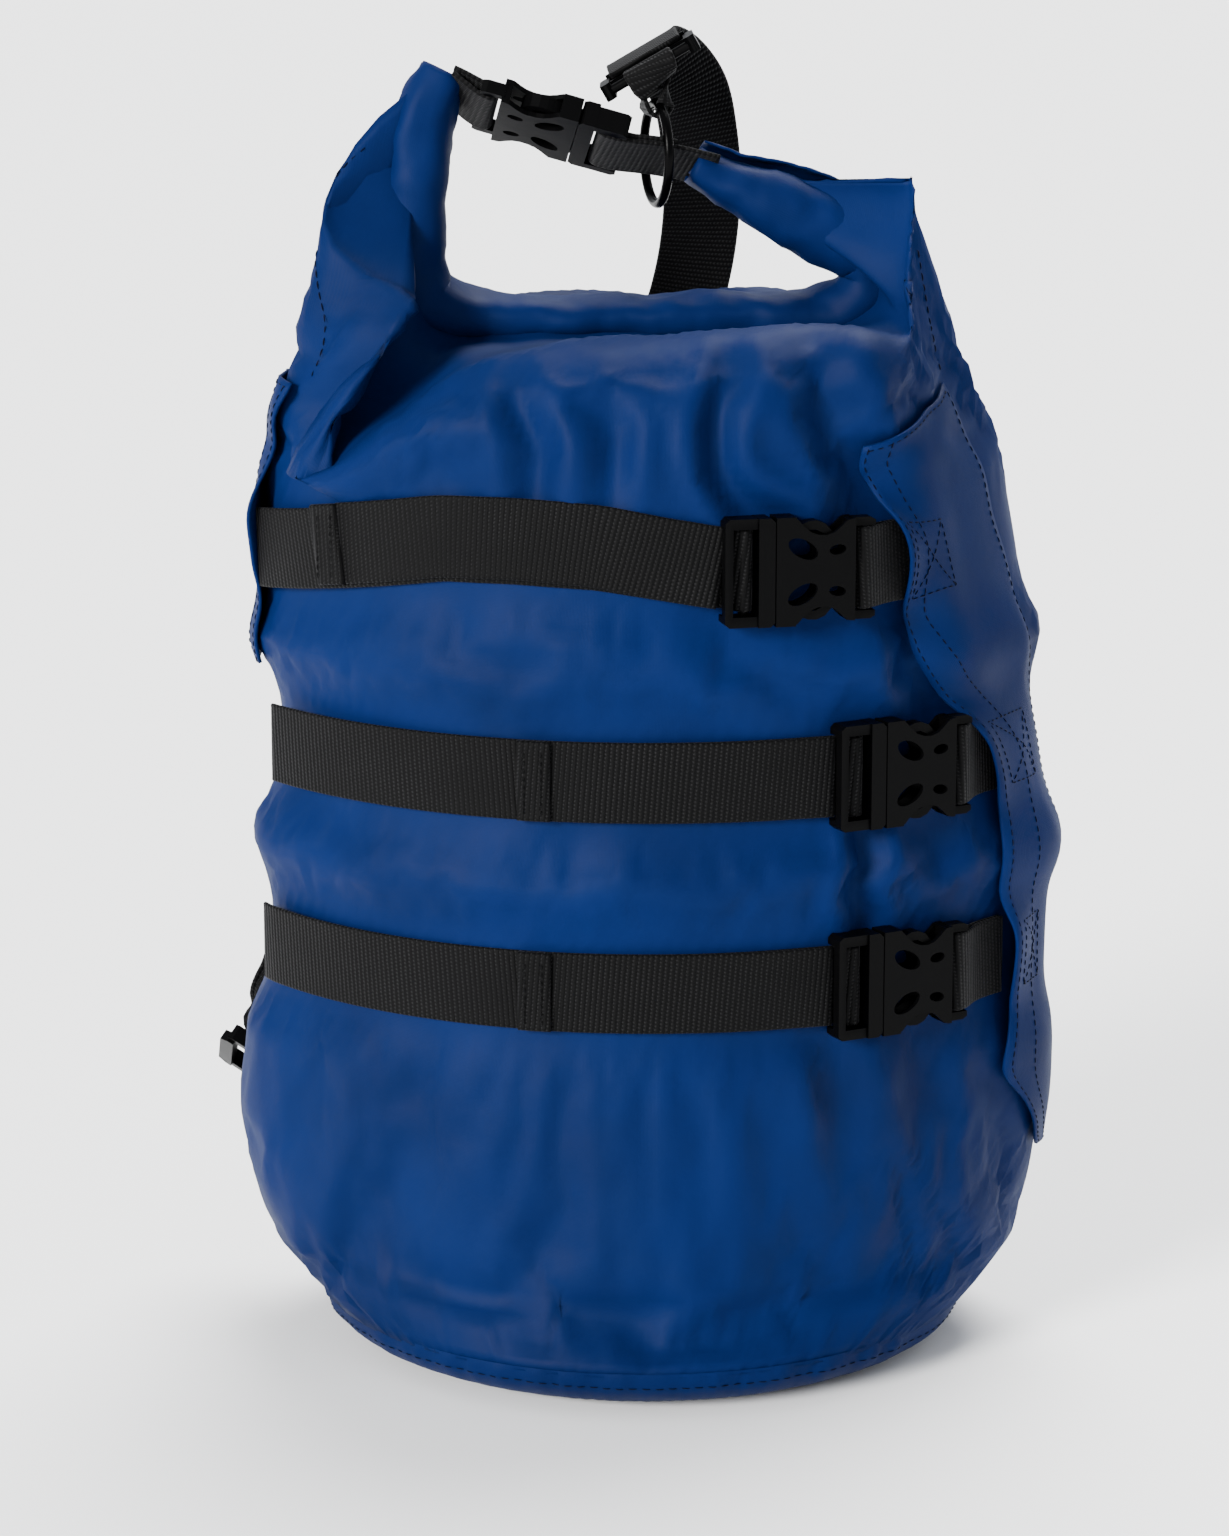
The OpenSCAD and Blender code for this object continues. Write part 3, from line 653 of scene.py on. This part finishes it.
def drape(obj, rows):
    """Lets the fabric settle: it is cut a little larger than its shape, so it wrinkles and hangs."""
    count = rows.shape[0] * rows.shape[1]
    z = rows[..., 2].ravel()
    row = np.repeat(np.arange(rows.shape[0]), rows.shape[1])
    held = 1 - 0.97 * strap_bulge(rows[..., 0].ravel(), z)
    held = np.maximum(held, 1 - smooth((z - SEAM_Z) / 8))
    top = smooth((row - len(LOWER_LEVELS) - 8) / 14.0)
    held = np.clip(np.maximum(held, top), 0.04, 1)
    group = obj.vertex_groups.new(name="held")
    for i in range(count):
        group.add([i], float(held[i]), "REPLACE")
    cloth = obj.modifiers.new("cloth", "CLOTH")
    settings = cloth.settings
    choices = dict(quality=6, mass=0.12, tension_stiffness=25, compression_stiffness=25, shear_stiffness=12,
                   bending_stiffness=0.18, air_damping=3, use_pressure=True, uniform_pressure_force=1.6,
                   vertex_group_mass="held", pin_stiffness=1.0, shrink_min=-0.028)
    for key, value in choices.items():
        setattr(settings, key, value)
    cloth.collision_settings.use_collision = False
    cloth.collision_settings.use_self_collision = False
    settings.effector_weights.gravity = 0.35
    scene = bpy.context.scene
    cloth.point_cache.frame_start = 1
    cloth.point_cache.frame_end = CLOTH_FRAMES
    for step in range(1, CLOTH_FRAMES + 1):
        scene.frame_set(step)
    graph = bpy.context.evaluated_depsgraph_get()
    done = obj.evaluated_get(graph).data
    moved = np.empty(count * 3, np.float32)
    done.vertices.foreach_get("co", moved)
    moved = moved.reshape(-1, 3) / MM
    obj.modifiers.clear()
    obj.vertex_groups.clear()
    scene.frame_set(1)
    shift = moved - rows.reshape(-1, 3)
    reach = np.linalg.norm(shift, axis=1, keepdims=True)
    shift *= np.minimum(1, MOST_MOVED / np.maximum(reach, 1e-6))
    final = rows.reshape(-1, 3) + shift
    obj.data.vertices.foreach_set("co", (final * MM).astype(np.float32).ravel())
    obj.data.update()
    return final.reshape(rows.shape)


def add_fabric():
    rows = shape_fabric()
    count, cols = rows.shape[:2]
    faces = grid_faces(count, cols, wrap=True)
    obj = make_mesh("sack_fabric", rows.reshape(-1, 3), faces, NYLON, fabric_uv(rows))
    rows = drape(obj, rows)
    tree = BVHTree.FromPolygons([Vector(p) for p in rows.reshape(-1, 3)], faces)
    solidify(obj, 0.6)
    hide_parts("sack_body", "left_shoulder", "right_shoulder")
    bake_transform(obj)
    return rows, tree


def unfold_ray(tree, f, z, out=40.0):
    """Where a level ray towards the sack's core hits the fabric: the point and the outward normal."""
    k = float(np.interp(z, FLAT_Z, FLATNESS))
    r = TUBE_RADIUS - (TUBE_RADIUS - SIDE_RADIUS) * k
    start = skin(np.array([f]), np.array([k]), np.array([r + out]))[0]
    towards = Vector((-math.sin(f), math.cos(f), 0))
    hit, normal, _, _ = tree.ray_cast(Vector((*start, z)), towards, 2 * out + r)
    if hit is None:
        return np.array((*skin(np.array([f]), np.array([k]), np.array([r]))[0], z)), -np.array(towards)
    normal = np.array(normal)
    if normal @ np.array(towards) > 0:
        normal = -normal
    return np.array(hit), normal


# ---- base

def add_base(rows):
    rim = rows[0]
    steps = 14
    rings = [rim + np.array((0, 0, 1.2))]
    pucker = fabric_noise(rim * (1, 1, 0), 0.16, 5.5)
    for i in range(1, steps + 1):
        a = math.pi / 2 * i / steps
        inward = 1 - 0.30 * (1 - math.cos(a))
        z = SEAM_Z * (1 - math.sin(a)) ** 1.15
        ring = rim * inward
        ring[:, 2] = z
        fade = math.exp(-i / 3.5)
        out = unit(rim * (1, 1, 0))
        rings.append(ring + out * (pucker * 2.2 * fade)[:, None])
    for share in (0.5, 0.3, 0.12):
        ring = rim * share
        ring[:, 2] = 0
        rings.append(ring)
    rings = np.array(rings)
    rings[:, :, 2] = np.maximum(rings[:, :, 2], 0)
    count, cols = rings.shape[:2]
    faces = grid_faces(count, cols, wrap=True, flip=True)
    faces.append(tuple((count - 1) * cols + j for j in range(cols))[::-1])
    uv = rings[..., :2].reshape(-1, 2) * MM
    base = make_mesh("base_fabric", rings.reshape(-1, 3), faces, NYLON, uv)
    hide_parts("base_panel")
    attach(base, "sack")
    seam = np.concatenate([rings[2], rings[2][:1]])
    outward = unit(seam * (1, 1, 0)) + (0, 0, -0.35)
    stitched = stitches("base_stitches", seam, outward, BLUE_THREAD, 3.0, 1.2, 0.2)
    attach(stitched, "sack")


# ---- rolled mouth

def add_roll():
    path = even_path(ROLL_LINE, 150)
    walked = distances(path)
    share = walked / walked[-1]
    wide = np.tile([0.0, 1.0, 0.0], (len(path), 1))
    tall = spline([0, 0.12, 0.25, 0.33, 0.6, 0.7, 0.78, 0.86, 0.93, 1],
                  [19, 24, 24, 18, 18.5, 20, 26, 27, 22, 16], share)
    deep = spline([0, 0.2, 0.5, 0.8, 1], [25, 30, 31, 29, 24], share)
    twist = spline([0, 0.3, 0.5, 0.75, 1], [0.35, 0.15, 0, -0.25, -0.5], share)
    angle = np.linspace(0, 2 * math.pi * 2.35, 74)
    coil = 1 - 0.72 * (angle / angle[-1])
    rings = []
    for t, d, turn in zip(tall, deep, twist):
        a = angle + turn - 1.2
        c, s = np.cos(a), np.sin(a)
        rings.append(np.column_stack([d / 2 * coil * np.sign(c) * np.abs(c) ** 0.85,
                                      t / 2 * coil * np.sign(s) * np.abs(s) ** 0.85]))
    rings = np.array(rings)
    points = carried(path, wide, rings)
    soft = fabric_noise(points.reshape(-1, 3), 0.06, 9.3).reshape(points.shape[:2])
    outward = unit(points - path[:, None])
    points = points + outward * (soft * 1.9)[..., None]
    arc = distances(rings[75])
    uv = np.stack(np.broadcast_arrays(walked[:, None] * MM, arc[None] * MM), -1).reshape(-1, 2)
    count, cols = points.shape[:2]
    roll = make_mesh("rolled_mouth", points.reshape(-1, 3), grid_faces(count, cols), NYLON, uv)
    solidify(roll, 0.7, 0)
    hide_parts("roll_left_arm", "roll_middle", "roll_right_arm")
    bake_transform(roll)
    middle = np.array([(x, 5, 328.2) for x in np.linspace(-51, 45, 33)])
    back = np.tile([0.0, 1.0, 0.0], (33, 1))
    strip = tube_mesh("hem_stiffener", carried(middle, back, ribbon_section(18, 1.4)), PLASTIC)
    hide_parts("roll_stiffener")
    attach(strip, "sack")


# ---- wings

# Height, angle of the free edge and angle of the seam, from straight ahead.
RIGHT_WING = [(62, 78, 104), (72, 66, 104), (88, 50, 103), (116, 47.5, 100), (140, 47, 96), (160, 45.5, 91),
              (183, 45, 84), (205, 41.5, 73), (222, 36.5, 64), (245, 31.2, 55), (267, 30.5, 50), (287, 28.2, 49),
              (300, 27.4, 48), (312, 28, 47)]
LEFT_WING = [(222, -72, -110), (230, -66, -111), (246, -62, -112), (275, -61, -111), (292, -60, -109),
             (303, -57, -106), (312, -54, -102)]


def wing_sheet(tree, table, levels, across, drop):
    heights = [row[0] for row in table]
    free = spline(heights, [row[1] for row in table], levels)
    seam = spline(heights, [row[2] for row in table], levels)
    points, normals = np.empty((len(levels), len(across), 3)), np.empty((len(levels), len(across), 3))
    for i, z in enumerate(levels):
        for j, t in enumerate(across):
            sink = drop * (1 - t) * smooth((z - table[-1][0] + 30) / 30)
            hit, normal = unfold_ray(tree, math.radians(free[i] + (seam[i] - free[i]) * t), z - sink)
            near = np.min(np.abs(z - STRAP_Z))
            inside = t * abs(math.radians(seam[i] - free[i])) * FRONT_RADIUS
            covered = 4.6 * math.exp(-inside / 6) + 1.6 * (1 - smooth((inside - 18) / 10))
            over_web = math.exp(-(near / 17)**4) * covered
            gap = 3.2 + (0.5 - 3.2) * t**2.2 + over_web
            gap += (0.9 * math.exp(-(t / 0.16)**2) * math.sin(z * 0.19)
                    + 0.5 * math.sin(z * 0.07 + t * 5) * (1 - t))
            points[i, j] = hit + normal * max(gap, 0.4)
            normals[i, j] = normal
    # Smooth out the fabric's own wrinkles, which a second layer does not follow closely.
    for _ in range(3):
        points[1:-1] = (points[:-2] + 2 * points[1:-1] + points[2:]) / 4
        points[:, 1:-1] = (points[:, :-2] + 2 * points[:, 1:-1] + points[:, 2:]) / 4
    return points, normals


def surface_line(points, normals, track, lift=0.55):
    """Points on a sheet at (row, column) places given as fractions."""
    rows, cols = points.shape[:2]
    out, outn = [], []
    for r, c in track:
        i, j = min(max(r, 0), 1) * (rows - 1), min(max(c, 0), 1) * (cols - 1)
        i0, j0 = min(int(i), rows - 2), min(int(j), cols - 2)
        u, v = i - i0, j - j0
        pick = lambda a: ((1 - u) * (1 - v) * a[i0, j0] + u * (1 - v) * a[i0 + 1, j0]
                          + (1 - u) * v * a[i0, j0 + 1] + u * v * a[i0 + 1, j0 + 1])
        n = unit(pick(normals))
        out.append(pick(points) + n * lift)
        outn.append(n)
    return np.array(out), np.array(outn)


def add_wing(name, tree, table, count, node_name):
    low, high = table[0][0], table[-1][0]
    levels = np.linspace(low, high, count)
    across = np.linspace(0, 1, 22)
    points, normals = wing_sheet(tree, table, levels, across, 13.0 if table[0][1] > 0 else 0.0)
    rows, cols = points.shape[:2]
    uv = np.stack(np.broadcast_arrays(levels[:, None] * MM, (across * 60)[None] * MM), -1).reshape(-1, 2)
    flip = table[0][1] > 0
    sheet = make_mesh(name, points.reshape(-1, 3), grid_faces(rows, cols, flip=not flip), NYLON, uv)
    solidify(sheet, 1.0, 0)
    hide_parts(node_name)
    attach(sheet, "sack")
    width = np.linalg.norm(np.diff(points, axis=1), axis=2).sum(1)
    lines = []
    for inset in (1.6, 8.5):
        lines.append([(i / (rows - 1), inset / max(width[i], inset * 1.2)) for i in range(rows)])
    lines.append([(1 - 1.8 / (high - low), t) for t in np.linspace(0.02, 0.98, 14)])
    lines.append([(i / (rows - 1), 1 - 2.0 / max(width[i], 4)) for i in range(rows)])
    for k, track in enumerate(lines):
        line, out = surface_line(points, normals, track)
        made = stitches(f"{name}_stitches_{k}", line, out, BLUE_THREAD, 2.2, 0.9, 0.2)
        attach(made, "sack")
    return points, normals, levels, width


def add_box_stitch(name, points, normals, levels, width, z, start, reach=14.0, half=11.0):
    """A sewn box with a cross in it, where a webbing end lies under the wing."""
    row = lambda height: (height - levels[0]) / (levels[-1] - levels[0])
    middle = width[np.abs(levels - z).argmin()]
    col = lambda away: min(away / middle, 0.97)
    corners = [(z - half, start), (z - half, start + reach), (z + half, start + reach), (z + half, start),
               (z - half, start), (z + half, start + reach)]
    second = [(z - half, start + reach), (z + half, start)]
    for k, way in enumerate((corners, second)):
        track = []
        for (z0, a0), (z1, a1) in zip(way[:-1], way[1:]):
            track += [(row(z0 + (z1 - z0) * t), col(a0 + (a1 - a0) * t)) for t in np.linspace(0, 1, 9)]
        line, out = surface_line(points, normals, track)
        made = stitches(f"{name}_{k}", line, out, BLUE_THREAD, 2.0, 0.8, 0.2)
        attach(made, "sack")


# ---- compression straps

WEB_THICK = 1.3
BUCKLE_RADIUS = FRONT_RADIUS + 0.3
STRAP_RADIUS = FRONT_RADIUS + 0.2 + WEB_THICK / 2
TAIL_RADIUS = STRAP_RADIUS + WEB_THICK + 0.3
BAR = (-8.9, 3.1)
END_BAR = (28.2, 4.4)
WRAP = 2.3
PLACES = {"top": (263.0, 14.2, -42.0, -61.0), "middle": (198.0, 27.8, -15.0, -50.0),
          "bottom": (132.0, 27.8, -15.0, -61.0)}


def in_buckle(degrees, places):
    a = math.radians(degrees)
    s, c = math.sin(a), math.cos(a)
    return [((BUCKLE_RADIUS + n) * s + x * c, ARC_BACK - (BUCKLE_RADIUS + n) * c + x * s) for x, n in places]


def round_bar(bar, radius, a0, a1, steps=12):
    turn = np.radians(np.linspace(a0, a1, steps))
    return [(bar[0] + radius * math.cos(a), bar[1] + radius * math.sin(a)) for a in turn]


def skin_arc(a0, a1, gap):
    turn = np.radians(np.linspace(a0, a1, max(3, int(abs(a1 - a0) / 2))))
    return [tuple(p) for p in skin(turn, np.ones(len(turn)), np.full(len(turn), SIDE_RADIUS + gap))]


def front_arc(a0, a1, radius):
    turn = np.radians(np.linspace(a0, a1, max(3, int(abs(a1 - a0) / 2))))
    return [(radius * math.sin(a), ARC_BACK - radius * math.cos(a)) for a in turn]


def lifted(name, plan, z, extra=0.0):
    plan = np.array(plan)
    return np.column_stack([plan, z + strap_rise(name, plan[:, 0]) + extra])


def upright(points):
    return np.tile([0.0, 0.0, 1.0], (len(points), 1))


def sharp_webbing(name, points, wide=upright, width=WEB_WIDTH, thick=WEB_THICK):
    """Webbing through given points with tight bends kept as they are."""
    points = np.asarray(points, float)
    keys = distances(points)
    dense = []
    for i in range(len(points) - 1):
        steps = max(1, int((keys[i + 1] - keys[i]) / 1.6))
        dense += [points[i] + (points[i + 1] - points[i]) * t / steps for t in range(steps)]
    dense = np.array(dense + [points[-1]])
    for _ in range(2):
        dense[1:-1] = (dense[:-2] + 2 * dense[1:-1] + dense[2:]) / 4
    if callable(wide):
        axes = wide(dense)
    else:
        at = distances(dense)
        axes = unit(np.stack([np.interp(at / at[-1], keys / keys[-1], np.asarray(wide, float)[:, k])
                              for k in range(3)], 1))
    walked = distances(dense)
    widths = np.interp(walked / walked[-1], np.linspace(0, 1, np.size(width)), np.atleast_1d(width))
    section = np.stack([ribbon_section(w, thick) for w in widths])
    rings = carried(dense, axes, section)
    cols = rings.shape[1]
    uv = np.stack([np.repeat(walked * MM, cols), (section[..., 0] * MM).ravel()], 1)
    return tube_mesh(name, rings, WEBBING, uv)


def add_strap(name, tree):
    z, buckle, tail, start = PLACES[name]
    end = in_buckle(buckle, [(-22, -0.9), (-17, 0.1), (-12, 0.72)] + round_bar(BAR, WRAP, -80, 100)
                    + [(-11.4, 4.3), (-13.3, 3.0)])
    run = skin_arc(start - 3, buckle - 12, STRAP_RADIUS - FRONT_RADIUS) + end
    strap = sharp_webbing(f"{name}_strap_web", lifted(name, run, z))
    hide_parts(f"{name}_strap")
    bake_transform(strap)

    fold = tail + 3.6
    back = in_buckle(buckle, [(-15.2, 2.5), (-19, 1.6)])
    path = back + front_arc(buckle - 11, fold, TAIL_RADIUS)
    lift = 1.6 if name == "top" else 0.3
    heights = lifted(name, path, z)
    heights[:, 2] += lift * smooth((heights[0, 0] - heights[:, 0]) / 60)
    free = sharp_webbing(f"{name}_tail_web", heights)
    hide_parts(f"{name}_tail")
    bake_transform(free)

    ends = front_arc(fold + 0.25, tail, TAIL_RADIUS + WEB_THICK / 2)
    heights = lifted(name, ends, z, lift)
    folded = sharp_webbing(f"{name}_tail_fold", heights, thick=2 * WEB_THICK)
    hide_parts(f"{name}_tail_end")
    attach(folded, f"{name}_strap_end")
    for k, share in enumerate((0.22, 0.78)):
        middle = heights[0] + (heights[-1] - heights[0]) * share
        a = math.radians(fold + (tail - fold) * share)
        out = np.array((math.sin(a), -math.cos(a), 0))
        top = np.array((TAIL_RADIUS + 2 * WEB_THICK - 0.1) * out + (0, ARC_BACK, 0))
        line = np.array([(top[0], top[1], middle[2] + up) for up in np.linspace(-10.5, 10.5, 12)])
        made = stitches(f"{name}_tail_stitches_{k}", line, np.tile(out, (12, 1)), BLACK_THREAD, 1.8, 0.7, 0.24)
        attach(made, f"{name}_strap_end")

    def under_wing(away, gap):
        hit, normal = unfold_ray(tree, math.radians(buckle) + away / FRONT_RADIUS, z)
        return tuple((hit + normal * gap)[:2])

    low = [under_wing(*place) for place in ((51, 0.9), (46, 0.9), (40, 1.4), (34, 3.0))]
    high = [under_wing(*place) for place in ((31.5, 7.0), (34.5, 4.9), (40, 2.9), (46, 2.3), (51, 2.3))]
    loop = low + in_buckle(buckle, round_bar(END_BAR, WRAP, 290, 70)) + high
    anchor = sharp_webbing(f"{name}_anchor_web", lifted(name, loop, z))
    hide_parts(f"{name}_anchor")
    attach(anchor, "sack")


# ---- closure and ring

def closure_point(x, n, w=0.0):
    tilt, slope = math.radians(-28), math.radians(15.7)
    px, py, pz = -x, -w, n - END_BAR[1]
    py, pz = py * math.cos(tilt) - pz * math.sin(tilt), py * math.sin(tilt) + pz * math.cos(tilt)
    px, pz = px * math.cos(slope) + pz * math.sin(slope), -px * math.sin(slope) + pz * math.cos(slope)
    return np.array((px - 22, py, pz + 386.5))


def add_seam_lines(tree):
    """Sewn lines that run over the gathered corners, laid on the fabric from the front."""
    left = [(-86, 383), (-94, 376), (-100, 368), (-102, 357), (-101, 342), (-98.5, 329), (-101, 318),
            (-104, 312)]
    right = [(83.5, 352), (85.5, 340), (88, 326), (91, 313)]
    for name, line in (("left", left), ("right", right)):
        places, normals = [], []
        for x, z in even_path([(x, 0, z) for x, z in line], 60)[:, [0, 2]]:
            hit, normal, _, _ = tree.ray_cast(Vector((x, -200, z)), Vector((0, 1, 0)), 400)
            if hit is not None:
                places.append(np.array(hit) - (0, 0.2, 0))
                normals.append(-np.array(normal) if normal.y > 0 else np.array(normal))
        made = stitches(f"{name}_seam_stitches", places, normals, BLUE_THREAD, 2.6, 1.0, 0.22, 0.2)
        if name == "left":
            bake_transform(made)
        else:
            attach(made, "sack")


def add_closure():
    across = closure_point(0, 0, 1) - closure_point(0, 0, 0)
    left = ([(41, 9.0), (39, 8.8), (35, 7.8)] + round_bar(END_BAR, WRAP, 60, 295)
            + [(33, 3.2), (37, 5.4), (41, 7.2)])
    right = ([(-45, 4.4), (-34, 4), (-26, 3.1), (-20, 2), (-16, 1.2), (-12, 0.72)]
             + round_bar(BAR, WRAP, -80, 100)
             + [(-11.4, 4.3), (-13.3, 3.2), (-16, 2.9), (-20, 3.8), (-26, 4.9), (-31, 5.4)])
    for side, local, body in (("left", left, "closure_female_buckle"), ("right", right, "sack")):
        path = np.array([closure_point(x, n) for x, n in local])
        made = sharp_webbing(f"closure_{side}_web", path, lambda p: np.tile(across, (len(p), 1)))
        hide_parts(f"closure_{side}_webbing")
        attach(made, body)


RING_AT = np.array((3.2, 0, 379.8))
RING_RADIUS, RING_TURN = 15.4, math.radians(14)
ADJUSTER_AT = np.array((2.5, 6.0, 404.0))
ADJUSTER_BAR = unit(np.array((0.866, 0, 0.5)))
ADJUSTER_OUT = np.array((-0.5, 0, 0.866))


def add_ring_web():
    top = ADJUSTER_AT + np.array((0, -8.5, 0)) + ADJUSTER_OUT * 2.6
    end = RING_AT + np.array((0, 0, RING_RADIUS))
    tangent = np.array((-math.sin(RING_TURN), math.cos(RING_TURN), 0))
    down = unit(end - top)
    bar_side = unit(np.cross(down, ADJUSTER_BAR))
    ring_side = unit(np.cross(down, tangent))
    bar_down = unit(down - ADJUSTER_BAR * (ADJUSTER_BAR @ down))
    ring_down = unit(down - tangent * (tangent @ down))
    other = unit(ring_side - bar_side * (bar_side @ ring_side))
    twist = math.acos(bar_side @ ring_side)
    side = lambda s: (bar_side * math.cos(twist * smooth((s - 0.2) / 0.8))
                      + other * math.sin(twist * smooth((s - 0.2) / 0.8)))
    radius = lambda s: 2.7 + (4.4 - 2.7) * s
    leg = lambda s, sign: top + (end - top) * s + side(s) * radius(s) * sign
    path = [leg(s, 1) for s in (0.45, 0.3, 0.15)]
    path += [top + (bar_side * math.cos(a) - bar_down * math.sin(a)) * 2.7
             for a in np.radians(range(0, 181, 30))]
    path += [leg(s, -1) for s in (0.15, 0.3, 0.45, 0.6, 0.8)]
    path += [end + (ring_side * math.cos(a) + ring_down * math.sin(a)) * 4.4
             for a in np.radians(range(180, -1, -30))]
    path += [leg(s, 1) for s in (0.8, 0.6)]
    shares = [0.45, 0.3, 0.15] + [0] * 7 + [0.15, 0.3, 0.45, 0.6, 0.8] + [1] * 7 + [0.8, 0.6]
    wide = [ADJUSTER_BAR if s == 0 else tangent if s == 1 else np.cross(side(s), down) for s in shares]
    made = sharp_webbing("ring_web", path, wide, width=[15, 17, 15, 12, 9.5, 9.5, 11])
    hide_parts("ring_webbing")
    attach(made, "sack")


STRAP_PATH = [(-127.5, 41, 78.6), (-132, 43.5, 81.5), (-130.5, 51, 86), (-123, 59, 98), (-112, 66, 118),
              (-99, 72, 143), (-74, 79, 175), (-48, 86, 212), (-23, 88.5, 252), (0, 88.5, 290),
              (14, 82, 325), (18.5, 69, 354), (17.5, 56, 380), (13, 44, 398), (5, 34, 407.5),
              (-1, 25, 410.3), (-1.3, 18, 410.6), (-0.95, 12, 410), (-0.4, 6, 409)]
LOWER_Z = (0.1, -0.85, 0.52)
STRAP_WIDE = [LOWER_Z, LOWER_Z, (0, -0.6, 0.8), (-0.05, -0.35, 0.94), (-0.25, -0.35, 0.9), (-0.5, -0.3, 0.8),
              (-0.75, -0.2, 0.62), (-0.85, -0.1, 0.5), (-0.88, 0, 0.45), (-0.92, 0, 0.35), (-0.98, 0, 0.15),
              (-1, 0, 0), (-1, 0, -0.1), (-0.95, 0, -0.3), (-0.9, 0, -0.42), (-0.87, 0, -0.5), (-0.87, 0, -0.5),
              (-0.87, 0, -0.5), (-0.87, 0, -0.5)]
STRAP_SPLIT = 9


def add_shoulder_strap():
    """One length of webbing, cut in two where it lies still."""
    path = even_path(STRAP_PATH, 340)
    keys = distances(STRAP_PATH)
    wide = unit(spline(keys / keys[-1], STRAP_WIDE, np.linspace(0, 1, len(path))))
    section = ribbon_section(WEB_WIDTH, 1.6)
    rings = carried(path, wide, section)
    walked = distances(path)
    uvs = np.stack(np.broadcast_arrays(walked[:, None] * MM, section[None, :, 0] * MM), -1)
    split = int(np.linalg.norm(path - STRAP_PATH[STRAP_SPLIT], axis=1).argmin())
    halves = (("lower_shoulder_web", slice(0, split + 1), "lower_adjuster", 5, 1),
              ("upper_shoulder_web", slice(split, None), "shoulder_adjuster", 12, -4))
    for name, cut, body, start, end in halves:
        made = tube_mesh(name, rings[cut], WEBBING, uvs[cut].reshape(-1, 2))
        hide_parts("shoulder_strap")
        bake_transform(made)


LOWER_AT = np.array((-126.5, 41.0, 76.0))


def add_lower_end():
    x = unit(np.array((0.84, -0.2, -0.5)))
    y = unit(np.cross(LOWER_Z, x))
    z = np.cross(x, y)
    at = lambda a, n, w=0.0: LOWER_AT + x * a - y * n + z * w
    bar = (8.5, 2.6)
    local = ([(28, -4.9), (26, -4.4), (17, -1.2)] + round_bar(bar, WRAP, 290, 70)
             + [(17, 1.9), (26, -2.6), (28, -3.1)])
    web = sharp_webbing("lower_web", [at(a, n) for a, n in local], lambda p: np.tile(z, (len(p), 1)))
    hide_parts("lower_webbing")
    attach(web, "sack")
    rings = []
    for a, half, thick in ((17, 12.6, 3.6), (18, 13.2, 4.6), (21, 13.6, 5.0), (26, 13.8, 5.4), (32, 13, 6)):
        turn = np.linspace(0, 2 * math.pi, 32, endpoint=False)
        flat = np.sign(np.sin(turn)) * np.abs(np.sin(turn)) ** 0.4 * thick / 2
        rings.append([at(a, f + 0.3 - (a - 18) * 0.42, half * math.cos(t)) for t, f in zip(turn, flat)])
    rings = np.array(rings)
    uv = np.stack([np.repeat([0, 1, 4, 9, 15], 32) * MM, np.tile(np.linspace(0, 60, 32), 5) * MM], 1)
    tab = tube_mesh("lower_tab_fabric", rings, NYLON, uv)
    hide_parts("lower_tab")
    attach(tab, "sack")


# ---- moulded parts

def finish_hardware():
    moulded = ["female", "male", "latch_upper", "latch_lower"]
    names = [f"{w}_{part}" for w in PLACES for part in moulded]
    names += ["closure_female", "closure_male", "closure_latch_front", "closure_latch_back", "shoulder_adjuster",
              "lower_adjuster"]
    for name in names:
        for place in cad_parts[name].material_slots:
            place.material = PLASTIC
    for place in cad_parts["ring"].material_slots:
        place.material = RING_PLASTIC


# ---- build

add_camera()
add_studio()
fabric_rows, fabric_tree = add_fabric()
add_base(fabric_rows)
add_roll()
right = add_wing("right_wing_fabric", fabric_tree, RIGHT_WING, 90, "right_wing")
add_wing("left_wing_fabric", fabric_tree, LEFT_WING, 34, "left_wing")
for strap, reach in (("top", 15.0), ("middle", 14.0), ("bottom", 12.0)):
    add_strap(strap, fabric_tree)
    add_box_stitch(f"{strap}_box_stitch", *right, PLACES[strap][0], 3.5, reach)
add_seam_lines(fabric_tree)
add_closure()
add_ring_web()
add_shoulder_strap()
add_lower_end()
finish_hardware()
